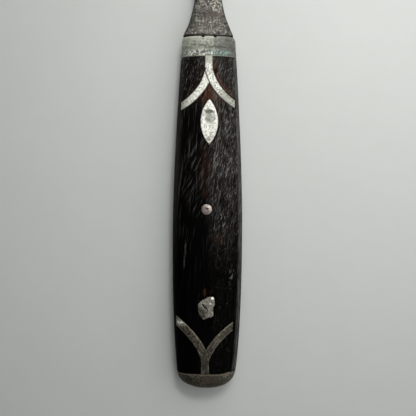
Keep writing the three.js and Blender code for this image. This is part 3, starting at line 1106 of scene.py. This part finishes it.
def finish(name, metallic, depth, specular=0.5):
    """Makes a function that lays coats into one that gives their material, made at its first use.

    The function returns the roughness and the height of the surface's relief.
    """

    def wrap(paint):
        def material_of(colours):
            if name in bpy.data.materials:
                return bpy.data.materials[name]
            material = bpy.data.materials.new(name)
            on = Finish(material)
            roughness, height = paint(on, colours)
            relief = {"Strength": 1.0, "Distance": depth, "Height": height}
            values = {
                "Base Color": on.base,
                "Roughness": roughness,
                "Metallic": metallic,
                "Specular IOR Level": specular,
                "Normal": on.nodes.out("ShaderNodeBump", relief),
            }
            surface = on.nodes.out("ShaderNodeBsdfPrincipled", values)
            on.nodes.add("ShaderNodeOutputMaterial", {"Surface": surface})
            return material

        return material_of

    return wrap


# Finishes, with places in mm


RUST = (0.052, 0.034, 0.025)
PIT_BROWN = (0.2, 0.17, 0.12)
CAP_BLUSH = (0.07, 0.045, 0.032)
FRAGMENT_GREY = (0.165, 0.155, 0.13)
FRAGMENT_DARK_TONE = (0.027, 0.025, 0.015)
PIN_BLUSH = (0.34, 0.215, 0.19)


@finish("forged_steel", 0.35, 0.12 * MM)
def steel_finish(on, tone):
    """Old forged steel: speckled grey with a brown arch of rust, flanks painted dark as shade, and black pits.
    """
    x, y = on.x, on.y
    worn, worn_height = on.clouded(1750, 0.475, 0.54)
    broad, _ = on.clouded(420, 0.44, 0.58, 3)
    rust, _ = on.clouded(260, 0.47, 0.6, 4)
    blotch, _ = on.clouded(950, 0.48, 0.54, 12)
    pits, pit_height = on.pits(1700, 0.71, 1)
    holes, hole_height = on.pits(800, 0.59, 2)
    specks, _ = on.pits(1900, 0.55, 9)
    outer = on.patch(1.1, 3.4, 2.9, 3.2, 0.5, 900, 0.3)
    inner = on.patch(1.1, 3.2, 2.2, 2.5, 0.5, 900, 0.3)
    scar = on.patch(4.2, 3.1, 0.55, 0.4, 0.5, 900, 0.5)
    band = on.patch(-1.2, 0.75, 4.4, 0.9, 0.5, 500, 0.7)
    arch = (outer - inner).above(0.0) * y.rise(1.6, 3.4)
    light = (worn * (0.55 + broad * 0.45)).above(band * (0.2 + worn * 0.7))
    seam = (1.0 - y.rise(0.1, 0.45)) * (0.8 - x.rise(-1.5, 0.5) * 0.5)
    on.ground(tone.steel, 0.1)
    on.coat(light * (0.62 + y.rise(5, 10) * 0.38), tone.steel, 2.6)
    on.coat(blotch * 0.62, tone.steel, 0.17)
    on.coat(rust * 0.28, tone.stain)
    on.coat(arch * 0.9, RUST)
    on.coat(specks * (0.2 + y.rise(4, 8) * 0.6), tone.steel, 2.8)
    on.coat(pits * 0.85, tone.stain, 0.2)
    on.coat(holes.above(scar) * 0.9, tone.stain, 0.12)
    # Painted shade: the steel is darkened along its joint with the collar.
    on.coat(seam, tone.stain, 0.15)
    # Painted shade on the flanks of the steel.
    on.coat(on.marked("flank").rise(0.12, 0.5) * 0.85, tone.stain, 0.2)
    height = worn_height * 0.9 + pit_height * 0.4 + hole_height * 0.6
    return 0.46 + worn * 0.14 + rust * 0.12, height


@finish("dark_handle_wood", 0.0, 0.1 * MM, specular=0.015)
def wood_finish(on, tone):
    """Near-black hardwood: brown and flecked near the bolster, with a painted sheen on the right, black near
    the butt.
    """
    x, y = on.x, on.y
    flecks, fleck_height = on.scratches(-13, 3700, 4.2, 0.53, 1)
    streaks, streak_height = on.scratches(-9, 2900, 12, 0.54, 5)
    pores, pore_height = on.scratches(-12, 1250, 6, 0.56, 2)
    fibres, fibre_height = on.scratches(-6, 3600, 14, 0.47, 3)
    hairs, _ = on.scratches(-4, 3600, 30, 0.57, 8)
    slanted, _ = on.scratches(-23, 2900, 10, 0.54, 14)
    cloudy, _ = on.clouded(150, 0.43, 0.57, 6)
    sparks, _ = on.pits(1900, 0.64, 4)
    upper = y.rise(-63, -30)
    top = y.rise(-22, -10)
    right = x.rise(0.5, 3.5)
    # Painted reflection: the right half of the wood is painted greyer, where it would reflect light from the
    # right.
    right_sheen = x.rise(-0.6, 2.2) * (0.03 + upper * 0.97) * (0.55 + cloudy * 0.45) * (1.0 - top * 0.4)
    on.ground(tone.wood, 0.15)
    # Lighter towards the bolster: partly painted light, which falls brighter on that end.
    on.coat(upper, tone.wood, 0.45)
    on.coat(top, tone.wood, 1.4)
    # Painted sheen on the right half of the wood.
    on.coat(right_sheen, tone.wood, 3.9)
    crotch = on.patch(0.1, -15.2, 3.6, 4.4, 0.5, 420, 0.7)
    beside = on.patch(2.2, -20, 1.6, 4, 0.6, 420, 0.7)
    middle = on.patch(-0.6, -35, 2.4, 9, 0.7, 420, 0.7)
    rosy = on.patch(2.6, -52.6, 1.7, 2.6, 0.7, 420, 0.7)
    ember = on.patch(-0.6, -66.6, 0.55, 1.5, 0.5, 700, 0.6)
    glow = on.patch(1.1, -66.4, 0.6, 1, 0.5, 700, 0.6)
    along = (1.0 - on.marked("to_strip").rise(1.3 * MM, 2.3 * MM)) * y.rise(-18.5, -16)
    along = along * (0.18 + x.rise(-0.5, 1.5) * 0.82)
    warmth = crotch.above(beside * 0.5).above(along * 0.9).above(middle * 0.22).above(rosy * 0.25)
    warmth = warmth * (0.3 + fibres * 0.7)
    on.coat(warmth.above(ember * (0.3 + fibres * 0.4)).above(glow * 0.2), tone.warm_wood)
    split = on.patch(-5.6, -55.4, 0.3, 2.6, 0.8, 1300, 0.7)
    split = split.above(on.patch(-5.9, -58.6, 0.3, 2.6, 0.8, 1300, 0.7))
    glint = on.patch(3.7, -48.4, 1.5, 2.6, 0.6, 600, 0.8)
    glint = glint.above(on.patch(6, -62, 1.2, 3.4, 0.7, 600, 0.8) * 0.7)
    grain = on.patch(-2.6, -36, 6, 13, 0.5, 420, 0.7)
    # Pale streaks and flecks: partly the wood's own pale pores and splits, partly painted glints in the sheen
    # on the right.
    pale_streaks_and_sheen = flecks * (top * 0.45).above(right_sheen * 0.85) + sparks * right * 0.16
    pale_streaks_and_sheen = pale_streaks_and_sheen + streaks * right_sheen * (0.75 - right * 0.4)
    pale_streaks_and_sheen = pale_streaks_and_sheen + hairs * (0.025 + upper * 0.25) * (1.0 - top * 0.5) + slanted * grain * 0.24
    pale_streaks_and_sheen = pale_streaks_and_sheen + split * (0.2 + fibres * 0.2) + glint * flecks * 0.9
    on.coat(pale_streaks_and_sheen.below(1.0), tone.silver_wood)
    on.coat(pores * 0.9, tone.wood, 0.25)
    slope = on.marked("slope")
    # Painted reflection on the flanks: paler on the right flank, and faintly on the left flank towards the
    # bolster.
    flank_sheen = slope.rise(0.6, 0.8) * (0.3 + fibres * 0.5) + (0.0 - slope).rise(0.5, 0.8) * upper * 0.2
    on.coat(flank_sheen, tone.silver_wood, 0.57)
    height = fleck_height * 0.5 + streak_height * 0.4 + fibre_height * 0.2 - pore_height * 0.7
    return 0.46 + fibres * 0.1 + pores * 0.25, height


@finish("bright_pewter", 0.08, 0.09 * MM)
def pewter_finish(on, tone):
    """Worn pewter, painted bright cream-white as lit, mottled grey elsewhere."""
    dull, dull_height = on.clouded(420, 0.46, 0.58, 2)
    fine, fine_height = on.clouded(2100, 0.505, 0.55, 6)
    specks, speck_height = on.pits(1500, 0.55, 5)
    lip = on.patch(0.25, -20.05, 1.5, 0.62, 0.25, 900, 0.6)
    dish = on.patch(0.3, -21.7, 1.55, 2.3, 0.5, 900, 0.7)
    pit = on.patch(0, -27.35, 0.75, 0.55, 0.5, 1300, 0.6)
    ends = abs(on.x).rise(4.2, 6.8)
    on.ground(tone.pewter)
    on.coat((dull * 0.2 + ends * 0.8 + dish * 0.9).below(0.95), tone.grey_pewter)
    on.coat(dish * 0.5, tone.grey_pewter, 0.6)
    on.coat(fine * (0.65 + dish * 0.35), tone.grey_pewter, 0.35)
    on.coat(lip * 0.95, tone.grey_pewter, 0.3)
    on.coat(pit * 0.8, PIT_BROWN)
    on.coat(on.marked("edge") * 0.4, tone.grey_pewter, 0.5)
    on.coat(specks * 0.6, tone.grey_pewter, 0.35)
    height = dull_height * 0.5 + fine_height * 0.5 + speck_height * 0.5
    return 0.42 + dull * 0.16 + specks * 0.2, height


@finish("bolster_pewter", 0.1, 0.09 * MM)
def bolster_finish(on, tone):
    """Grey-green cast pewter with a blue-green bloom along the seam, bright on the strips."""
    x, y = on.x, on.y
    dull, dull_height = on.clouded(420, 0.46, 0.58, 2)
    fine, fine_height = on.clouded(2100, 0.505, 0.55, 6)
    mottle, mottle_height = on.clouded(1500, 0.45, 0.56, 8)
    grit, _ = on.clouded(1900, 0.49, 0.53, 16)
    lines, line_height = on.scratches(86, 2300, 9, 0.5, 4)
    specks, speck_height = on.pits(1500, 0.56, 5)
    pitted, _ = on.pits(1250, 0.76, 12)
    bloom = on.patch(2.3, -4.9, 4.4, 1, 0.5, 800, 0.5)
    chalk = on.patch(-2.4, -5, 4.8, 1.1, 0.7, 1100, 0.6)
    spots = on.patch(-1.35, -4.7, 1, 0.42, 0.8, 1500, 0.4)
    spots = spots.above(on.patch(-2.9, -4.75, 0.5, 0.3, 0.8, 1500, 0.4))
    to_left = 1.0 - x.rise(-4, 3)
    below_groove = 1.0 - y.rise(-5, -3.8)
    light = (y.rise(-3.5, -1.2) * 0.24).above(below_groove * 0.06) + to_left * 0.38
    light = light + mottle * 0.6 - lines * 0.4
    groove = (1.0 - abs(y + 3.62).rise(0.05, 0.24)) * (0.2 + x.rise(0.5, 2.5) * 0.45)
    on.ground(tone.grey_pewter, 0.26)
    on.coat(light.below(1.0), tone.grey_pewter, 1.15)
    # Painted highlight along the collar's top edge.
    on.coat(y.rise(-1.5, -0.9) * (0.2 + to_left * 0.5), tone.grey_pewter, 1.6)
    on.coat(x.rise(0, 3) * 0.62, tone.grey_pewter, 0.18)
    # Painted shade in the groove round the collar, stronger on the right.
    on.coat(groove, tone.grey_pewter, 0.15)
    on.coat(bloom * 0.65, tone.verdigris, 0.24)
    on.coat(bloom * grit * 0.6, tone.verdigris, 1.25)
    on.coat(pitted * below_groove * (0.3 + to_left * 0.65), tone.grey_pewter, 0.15)
    on.coat(below_groove * (0.25 + to_left * 0.45) * (1.0 - grit), tone.grey_pewter, 0.2)
    on.coat(chalk * grit * 0.75, tone.pewter, 0.85)
    on.coat(spots * 0.85, tone.verdigris, 0.15)
    collar = on.base
    on_collar = y.rise(-5.9, -5.55)
    on.ground(tone.pewter)
    on.coat((dull * 0.4 + x.rise(1.4, 5.2) * 0.85).below(0.95), tone.grey_pewter)
    on.coat(fine * 0.9, tone.grey_pewter, 0.3)
    on.coat(y.rise(-8.8, -6.8) * 0.8, tone.grey_pewter, 0.9)
    on.base = on.nodes.blend(on_collar, on.base, collar)
    on.coat(specks * 0.65, tone.grey_pewter, 0.3)
    on.coat(on.marked("edge") * 0.4, tone.grey_pewter, 0.5)
    height = dull_height * 0.5 + mottle_height * 0.4 + fine_height * 0.4
    return 0.42 + dull * 0.16 + on_collar * 0.06, height + line_height * 0.2 + speck_height * 0.4


@finish("tarnished_pewter", 0.25, 0.09 * MM, specular=0.3)
def tarnished_finish(on, tone):
    """Tarnished pewter, painted darker as shade: dark brown-grey with painted highlights on its edges and a
    few bright spots.
    """
    y = on.y
    cloudy, cloud_height = on.clouded(420, 0.42, 0.6, 3)
    fine, fine_height = on.clouded(1900, 0.5, 0.55, 9)
    specks, speck_height = on.pits(1300, 0.63, 6)
    flakes, _ = on.pits(1600, 0.62, 10)
    stem = on.patch(0, -83.5, 2.2, 5.5, 0.5, 700, 0.6)
    tip = on.patch(-6.7, -74.3, 1.8, 1.3, 0.5, 900, 0.7)
    corner = on.patch(5.6, -88.9, 2.4, 1.8, 0.6, 900, 0.6)
    blush = on.patch(0.4, -89.6, 3.6, 1.6, 0.6, 600, 0.6)
    on_cap = 1.0 - y.rise(-88.4, -87.4)
    lit_edge = y.rise(-88, -87.7) * (1.0 - y.rise(-87.4, -87.2))
    on.ground(tone.dark_pewter, 0.25)
    on.coat(cloudy, tone.dark_pewter, 0.7)
    on.coat(stem * 0.75, tone.dark_pewter, 0.3)
    on.coat(corner * 0.85, tone.grey_pewter, 0.05)
    on.coat(fine * (0.55 + corner * 0.5 - stem * 0.35 - on_cap * 0.25), tone.dark_pewter, 3.6)
    on.coat(blush * 0.5, CAP_BLUSH)
    on.coat(tip * (0.15 + fine * 0.85), tone.pewter)
    on.coat(flakes * (0.7 - on_cap * 0.5 - stem * 0.3), tone.dark_pewter, 6)
    # Painted highlight along the rounded edges of the strips.
    on.coat(on.marked("edge") ** 1.3 * (0.5 + fine * 0.5 - stem * 0.3), tone.dark_pewter, 6.5)
    on.coat(lit_edge * 0.5, tone.dark_pewter, 3)
    on.coat((1.0 - y.rise(-91.5, -90.7)) * 0.8, tone.dark_pewter, 0.15)
    on.coat(specks * 0.8, tone.dark_pewter, 0.15)
    return 0.46 + cloudy * 0.14, cloud_height * 0.6 + fine_height * 0.4 + speck_height * 0.5


@finish("broken_pewter", 0.25, 0.08 * MM)
def fragment_finish(on, tone):
    """Dull grey pewter of the broken lozenge, bright at one corner, dark below the split, with painted shade
    deep in the split.
    """
    cloudy, cloud_height = on.clouded(520, 0.42, 0.6, 7)
    fine, fine_height = on.clouded(2300, 0.49, 0.56, 2)
    specks, speck_height = on.pits(1300, 0.6, 3)
    corner = on.patch(1.45, -68, 0.6, 0.5, 0.3, 900, 0.7)
    middle = on.patch(0.95, -69.4, 0.5, 0.4, 0.4, 900, 0.7)
    below = on.patch(-1.5, -72.2, 2.1, 2.9, 0.35, 500, 0.7)
    sunk_shade = 1.0 - abs(on.z - TANG_LEVEL / MM).rise(4.1, 4.4)
    on.ground(FRAGMENT_GREY, 0.55)
    on.coat(cloudy, FRAGMENT_GREY, 1.1)
    # Darker towards the lower left of the broken lozenge.
    on.coat(below, FRAGMENT_DARK_TONE)
    on.coat(fine * 0.65 * (1.0 - below * 0.8), FRAGMENT_GREY, 2.4)
    on.coat(corner.above(middle * 0.6), tone.pewter, 1.1)
    on.coat(specks * 0.75, FRAGMENT_GREY, 0.28)
    # Painted shade on the deep parts: the sides of the piece and the walls of the split are painted nearly
    # black.
    on.coat(sunk_shade * 0.9, FRAGMENT_GREY, 0.05)
    return 0.44 + cloudy * 0.14, cloud_height * 0.6 + fine_height * 0.4 + speck_height * 0.5


@finish("pin_metal", 0.3, 0.05 * MM)
def pin_finish(on, tone):
    """Pinkish grey peened metal, reddish on one side and painted dark round its rim as shade."""
    cloudy, cloud_height = on.clouded(800, 0.42, 0.6, 5)
    specks, speck_height = on.pits(1800, 0.55, 8)
    blush = on.patch(-0.95, -45.7, 0.7, 0.9, 0.4, 900, 0.8)
    face = on.patch(-0.22, -45.18, 1.42, 1.42, 0.12, 900, 0.15)
    smile = on.patch(-0.2, -45, 0.68, 0.3, 0.5, 1500, 0.5)
    rim = on.patch(0.55, -44.75, 0.65, 0.9, 0.4, 900, 0.7)
    middle = on.patch(-0.3, -45.15, 0.75, 0.7, 0.5, 1200, 0.6)
    on.ground(tone.pin, 0.55)
    on.coat(cloudy, tone.pin, 1.1)
    on.coat(blush * 0.6, PIN_BLUSH)
    on.coat(specks * 0.6, tone.pin, 0.3)
    on.coat(rim * 0.8, tone.pin, 2)
    on.coat(middle * 0.5, tone.pin, 0.5)
    on.coat(smile * 0.9, tone.pin, 0.1)
    # Painted shade round the rim of the pin, where the gap round it lies in shadow.
    on.coat(1.0 - face, tone.pin, 0.08)
    return 0.38 + cloudy * 0.14, cloud_height * 0.6 + speck_height * 0.4


@finish("pale_floor", 0.0, 0.02 * MM)
def floor_finish(on, tone):
    """Plain pale paper with a faint tooth."""
    tooth, height = on.clouded(60, 0.3, 0.7)
    on.ground(tone.floor, 0.985)
    on.coat(tooth, tone.floor, 1.015)
    return 0.75 + tooth * 0.05, height


# Operators


class ForkOperator(bpy.types.Operator):
    """Shared settings of the fork's operators."""

    bl_options = {"REGISTER", "UNDO"}


class FORK_OT_blade(ForkOperator):
    """Forges the steel: tines, shank, shoulder and the tang between the scales"""

    bl_idname = "fork.blade"
    bl_label = "Steel blade"

    def execute(self, context):
        handle, blade, inlay, colours = settings(context)
        steel = steel_finish(colours)
        piece = fore_blade("blade_steel", blade)
        carve(piece, "DIFFERENCE", [grow("tine_gaps", tine_gaps(), blade, material=steel)])
        remesh = piece.modifiers.new("Even facets", "REMESH")
        remesh.mode = "VOXEL"
        remesh.voxel_size = blade.grain
        smooth = piece.modifiers.new("Worn edges", "SMOOTH")
        smooth.factor = 0.5
        smooth.iterations = 5
        bake(piece)
        shape(piece, forged_surface(), material=steel)
        start = wood_start(handle)
        end = wood_end(handle)
        lap = 2 * MM
        plate = body("tang_plate", handle, start, end, 0.1 * MM)
        carve(plate, "INTERSECT", [tongue("level", handle, 2 * FAR, -start, -end)])
        front = tongue("front_tongue", handle, collar_tongue(handle), -start - lap, lap)
        butt = tongue("butt_tongue", handle, butt_tongue(handle), BUTT_WALL - handle.total, lap - end)
        carve(piece, "UNION", [plate, front, butt])
        holes = [
            (upper_lozenge_place(handle, inlay), inlay.neck),
            (lower_lozenge_place(handle, inlay), inlay.neck),
            (pin_place(handle), inlay.pin_radius),
        ]
        drills = []
        for place, radius in holes:
            drills.append(pocket("drill", place, circle(radius + handle.clearance), FRONT, -FAR))
        carve(piece, "DIFFERENCE", drills)
        mark(piece, "flank", lambda vertex: 1 - abs(vertex.normal.z))
        dress(piece, "fork_blade", steel)
        return {"FINISHED"}


class FORK_OT_scales(ForkOperator):
    """Shapes the two wooden scales and cuts the inlets for strips, lozenges and pin"""

    bl_idname = "fork.scales"
    bl_label = "Wooden scales"

    def execute(self, context):
        handle, _, _, colours = settings(context)
        skin = Skin(handle)
        level = handle.tang / 2 + handle.clearance
        for face, side in FACES.items():
            start, end = wood_start(handle), wood_end(handle)
            piece = body(f"{face}_wood", handle, start, end, 0.14 * MM, rings=220)
            low = (-FAR, -handle.total, TANG_LEVEL + side * level)
            carve(piece, "INTERSECT", [block("half", low, (FAR, 0, TANG_LEVEL + side * FAR))])
            carve(piece, "DIFFERENCE", self.inlets(context, skin, side))
            mark(piece, "to_strip", near_strips(handle, (LONG_BOLSTER, SHORT_BOLSTER), side))
            mark(piece, "slope", lambda vertex: vertex.normal.x)
            dress(piece, f"{face}_scale", wood_finish(colours))
        skin.clear()
        return {"FINISHED"}

    def inlets(self, context, skin, side):
        """Tools for the inlets of one face."""
        handle, _, inlay, _ = settings(context)
        floor = inlet_floor(handle)
        gap = handle.hairline
        tools = []
        for route in (LONG_BOLSTER, SHORT_BOLSTER, LONG_BUTT, SHORT_BUTT):
            tools.append(strip("inlet", context, skin, route, side, gap, floor))
        upper = upper_lozenge_place(handle, inlay)
        lower = lower_lozenge_place(handle, inlay)
        tools.append(pocket("upper_inlet", upper, lozenge_outline(inlay, gap, 1.0), side, floor))
        lower_floor = floor
        if side == FRONT:
            tools.append(pocket("fragment_inlet", lower, fragment_outline(inlay, gap), side, floor))
            lower_floor = BROKEN_FLOOR
        tools.append(pocket("lower_inlet", lower, lozenge_outline(inlay, gap), side, lower_floor))
        for place in (upper, lower):
            neck = circle(inlay.neck + handle.clearance)
            tools.append(pocket("neck_hole", place, neck, side, 0.0, 3 * MM))
        tools.append(pocket("pin_hole", pin_place(handle), circle(inlay.pin_radius + gap), side, 0.0))
        return tools


class FORK_OT_bolster(ForkOperator):
    """Casts the pewter bolster with the stems and long arms of its two faces"""

    bl_idname = "fork.bolster"
    bl_label = "Bolster"

    def execute(self, context):
        handle, _, _, colours = settings(context)
        skin = Skin(handle)
        worn = {"end_rounding": 0.2 * MM, "groove_distance": 3.6 * MM, "groove_depth": 0.07 * MM}
        start = 0.55 * MM
        piece = body("bolster_casting", handle, start, handle.bolster, 0.42 * MM, rings=90, **worn)
        gap = handle.clearance
        tools = [tongue("tongue_room", handle, collar_tongue(handle), -wood_start(handle), 0, gap)]
        corner = [(8.5 * MM, -3.72 * MM), (20 * MM, 5 * MM), (4.75 * MM, 1.71 * MM)]
        tools.append(prism("filed_corner", corner, -5 * MM, FAR))
        for x in (-1.45 * MM, 1.65 * MM):
            low = (x - 0.4 * MM, -1.1 * MM, TANG_LEVEL + 2.2 * MM)
            tools.append(block("notch", low, (x + 0.35 * MM, 0, FAR)))
        carve(piece, "DIFFERENCE", tools)
        arms = [strip("long_arm", context, skin, LONG_BOLSTER, side) for side in (FRONT, BACK)]
        carve(piece, "UNION", arms)
        skin.clear()
        dress(piece, "bolster", bolster_finish(colours))
        return {"FINISHED"}


class FORK_OT_butt_cap(ForkOperator):
    """Casts the pewter cap that closes the butt"""

    bl_idname = "fork.butt_cap"
    bl_label = "Butt cap"

    def execute(self, context):
        handle, _, _, colours = settings(context)
        piece = body("butt_cap_casting", handle, cap_seam(handle), handle.total, 0.16 * MM, rings=90)
        gap = handle.clearance
        start = BUTT_WALL - handle.total - gap
        past_seam = MM - wood_end(handle)
        room = tongue("tongue_room", handle, butt_tongue(handle), start, past_seam, gap)
        carve(piece, "DIFFERENCE", [room])
        dress(piece, "butt_cap", tarnished_finish(colours))
        return {"FINISHED"}


class FORK_OT_strips(ForkOperator):
    """Lays the separate pewter strips into both faces of the handle"""

    bl_idname = "fork.strips"
    bl_label = "Pewter strips"

    def execute(self, context):
        handle, _, _, colours = settings(context)
        bright = pewter_finish(colours)
        dark = tarnished_finish(colours)
        skin = Skin(handle)
        for face, side in FACES.items():
            arm = strip(f"{face}_bolster_strip", context, skin, SHORT_BOLSTER, side)
            beside = strip("beside", context, skin, LONG_BOLSTER, side, handle.hairline, 0.0)
            dress(carve(arm, "DIFFERENCE", [beside]), f"{face}_bolster_arm", bright)
            stem = strip(f"{face}_butt_stem", context, skin, LONG_BUTT, side)
            dress(stem, f"{face}_butt_strip", dark)
            arm = strip(f"{face}_butt_branch", context, skin, SHORT_BUTT, side)
            beside = strip("beside", context, skin, LONG_BUTT, side, BUTT_SEAM, 0.0)
            dress(carve(arm, "DIFFERENCE", [beside]), f"{face}_butt_arm", dark)
        skin.clear()
        return {"FINISHED"}


class FORK_OT_lozenges(ForkOperator):
    """Casts the two pairs of lozenges, the lower one broken on the front"""

    bl_idname = "fork.lozenges"
    bl_label = "Lozenges"

    def execute(self, context):
        handle, _, inlay, colours = settings(context)
        skin = Skin(handle)
        whole = lozenge_outline(inlay, 0.0, 1.0)
        place = upper_lozenge_place(handle, inlay)
        upper = plug("upper_lozenge_casting", handle, inlay, skin, place, whole, whole, upper_relief)
        dress(upper, "upper_lozenge", pewter_finish(colours))
        broken = fragment_outline(inlay)
        whole = lozenge_outline(inlay)
        place = lower_lozenge_place(handle, inlay)
        lower = plug("lower_lozenge_casting", handle, inlay, skin, place, broken, whole, fragment_relief)
        carve(lower, "DIFFERENCE", [self.slit(place)])
        dress(lower, "lower_lozenge", fragment_finish(colours))
        skin.clear()
        return {"FINISHED"}

    def slit(self, place):
        """A narrow tool for the split across the broken lozenge."""
        start, end = (place.to_2d() + Vector(point) * MM for point in SLIT)
        run = (end - start).normalized()
        across = Vector((-run.y, run.x)) * SLIT_HALF_WIDTH
        widest = start.lerp(end, 0.4)
        corners = [start + across * 0.7, start - across * 0.7, widest - across]
        corners += [end - across * 0.6, end + across * 0.6, widest + across]
        return prism("slit", corners, TANG_LEVEL + SLIT_FLOOR, FAR)


class FORK_OT_pin(ForkOperator):
    """Drives the pin through the handle and peens both ends"""

    bl_idname = "fork.pin"
    bl_label = "Handle pin"

    def execute(self, context):
        handle, _, inlay, colours = settings(context)
        place = pin_place(handle)
        skin = Skin(handle)
        rim = skin.height(FRONT)(place.x, place.y)
        skin.clear()
        outline = circle(inlay.pin_radius)
        relief = pin_relief(inlay)
        edge = 0.001 * MM
        top, front = inlay_face(lambda x, y: rim, place, outline, FRONT, edge, relief, 22)
        bottom, back = inlay_face(lambda x, y: inlay.pin_crown, place, outline, BACK, edge, relief, 22)
        piece = ring_mesh("pin_shank", top, front + back[::-1], bottom)
        dress(piece, "handle_pin", pin_finish(colours))
        return {"FINISHED"}


class FORK_OT_stage(ForkOperator):
    """Sets up the floor, the soft light and the camera"""

    bl_idname = "fork.stage"
    bl_label = "Stage"

    floor_reach = 6.0
    lamp_colour = (1.0, 0.995, 0.98)
    room_dim = (0.14, 0.14, 0.138)
    room_bright = (0.3, 0.302, 0.3)
    room_overhead = (0.08, 0.08, 0.08)
    view_angle = math.radians(30.515)
    view_turn = math.radians(0.418)
    view_place = (0.1 * MM, -44.85 * MM, TANG_LEVEL + 200 * MM)

    def execute(self, context):
        reach = self.floor_reach
        corners = [(-reach, -reach, 0), (reach, -reach, 0), (reach, reach, 0), (-reach, reach, 0)]
        floor = link_mesh("floor", corners, [(0, 1, 2, 3)])
        floor.data.materials.append(floor_finish(settings(context)[-1]))
        self.lamp("soft_key", "AREA", (0.17, 0.1, 0.3), (0, -0.045, 0), energy=1.42, size=0.7)
        cone = {"shadow_soft_size": 0.1, "spot_size": math.radians(32.5), "spot_blend": 1.0}
        self.lamp("side_lamp", "SPOT", (0.09, 0.22, 0.38), (0.045, 0.028, 0), energy=8.4, **cone)
        self.surroundings(context)
        self.camera(context)
        context.scene.view_settings.view_transform = "Standard"
        return {"FINISHED"}

    def lamp(self, name, kind, place, target, **options):
        """A soft lamp that looks at a place."""
        data = bpy.data.lights.new(name, kind)
        data.color = self.lamp_colour
        for option, value in options.items():
            setattr(data, option, value)
        lamp = link(name, data)
        lamp.visible_camera = False
        lamp.location = place
        lamp.rotation_euler = (Vector(target) - lamp.location).to_track_quat("-Z", "Y").to_euler()

    def surroundings(self, context):
        world = bpy.data.worlds.new("soft_room")
        world.use_nodes = True
        world.node_tree.nodes.clear()
        nodes = Nodes(world.node_tree)
        x, y, z = nodes.parts(nodes.out("ShaderNodeTexCoord", output="Generated"))
        towards = (x * 0.8 + y * 0.4).rise(-0.7, 0.8)
        overhead = (z - x * 0.8).rise(0.5, 0.85) * z.rise(0.15, 0.5)
        light = nodes.blend(towards, shade(self.room_dim), shade(self.room_bright))
        light = nodes.blend(overhead, light, shade(self.room_overhead))
        surface = nodes.out("ShaderNodeBackground", {"Color": light, "Strength": 1.0})
        nodes.add("ShaderNodeOutputWorld", {"Surface": surface})
        context.scene.world = world

    def camera(self, context):
        lens = bpy.data.cameras.new("camera")
        lens.sensor_fit = "HORIZONTAL"
        lens.angle = self.view_angle
        lens.clip_start = 5 * MM
        camera = link("camera", lens)
        turn = Matrix.Rotation(self.view_turn, 4, "Z")
        camera.matrix_world = Matrix.Translation(self.view_place) @ turn
        context.scene.camera = camera


class FORK_PT_panel(bpy.types.Panel):
    """Lists the pieces of the fork and their sizes"""

    bl_idname = "FORK_PT_panel"
    bl_label = "Inlaid Table Fork"
    bl_space_type = "VIEW_3D"
    bl_region_type = "UI"
    bl_category = "Fork"

    def draw(self, context):
        for step in STEPS:
            self.layout.operator(step.bl_idname)
        for group in GROUPS:
            box = self.layout.box()
            box.label(text=label(group))
            sizes = getattr(context.scene, group)
            for name in sizes.__annotations__:
                box.prop(sizes, name)


STEPS = (
    FORK_OT_blade,
    FORK_OT_scales,
    FORK_OT_bolster,
    FORK_OT_butt_cap,
    FORK_OT_strips,
    FORK_OT_lozenges,
    FORK_OT_pin,
    FORK_OT_stage,
)
CLASSES = (*GROUPS.values(), *STEPS, FORK_PT_panel)


def register():
    for made in CLASSES:
        bpy.utils.register_class(made)
    for name, group in GROUPS.items():
        setattr(bpy.types.Scene, name, PointerProperty(type=group))


def unregister():
    for name in GROUPS:
        delattr(bpy.types.Scene, name)
    for made in reversed(CLASSES):
        bpy.utils.unregister_class(made)


def main():
    register()
    bpy.ops.fork.blade()
    bpy.ops.fork.scales()
    bpy.ops.fork.bolster()
    bpy.ops.fork.butt_cap()
    bpy.ops.fork.strips()
    bpy.ops.fork.lozenges()
    bpy.ops.fork.pin()
    bpy.ops.fork.stage()


if __name__ == "__main__":
    main()
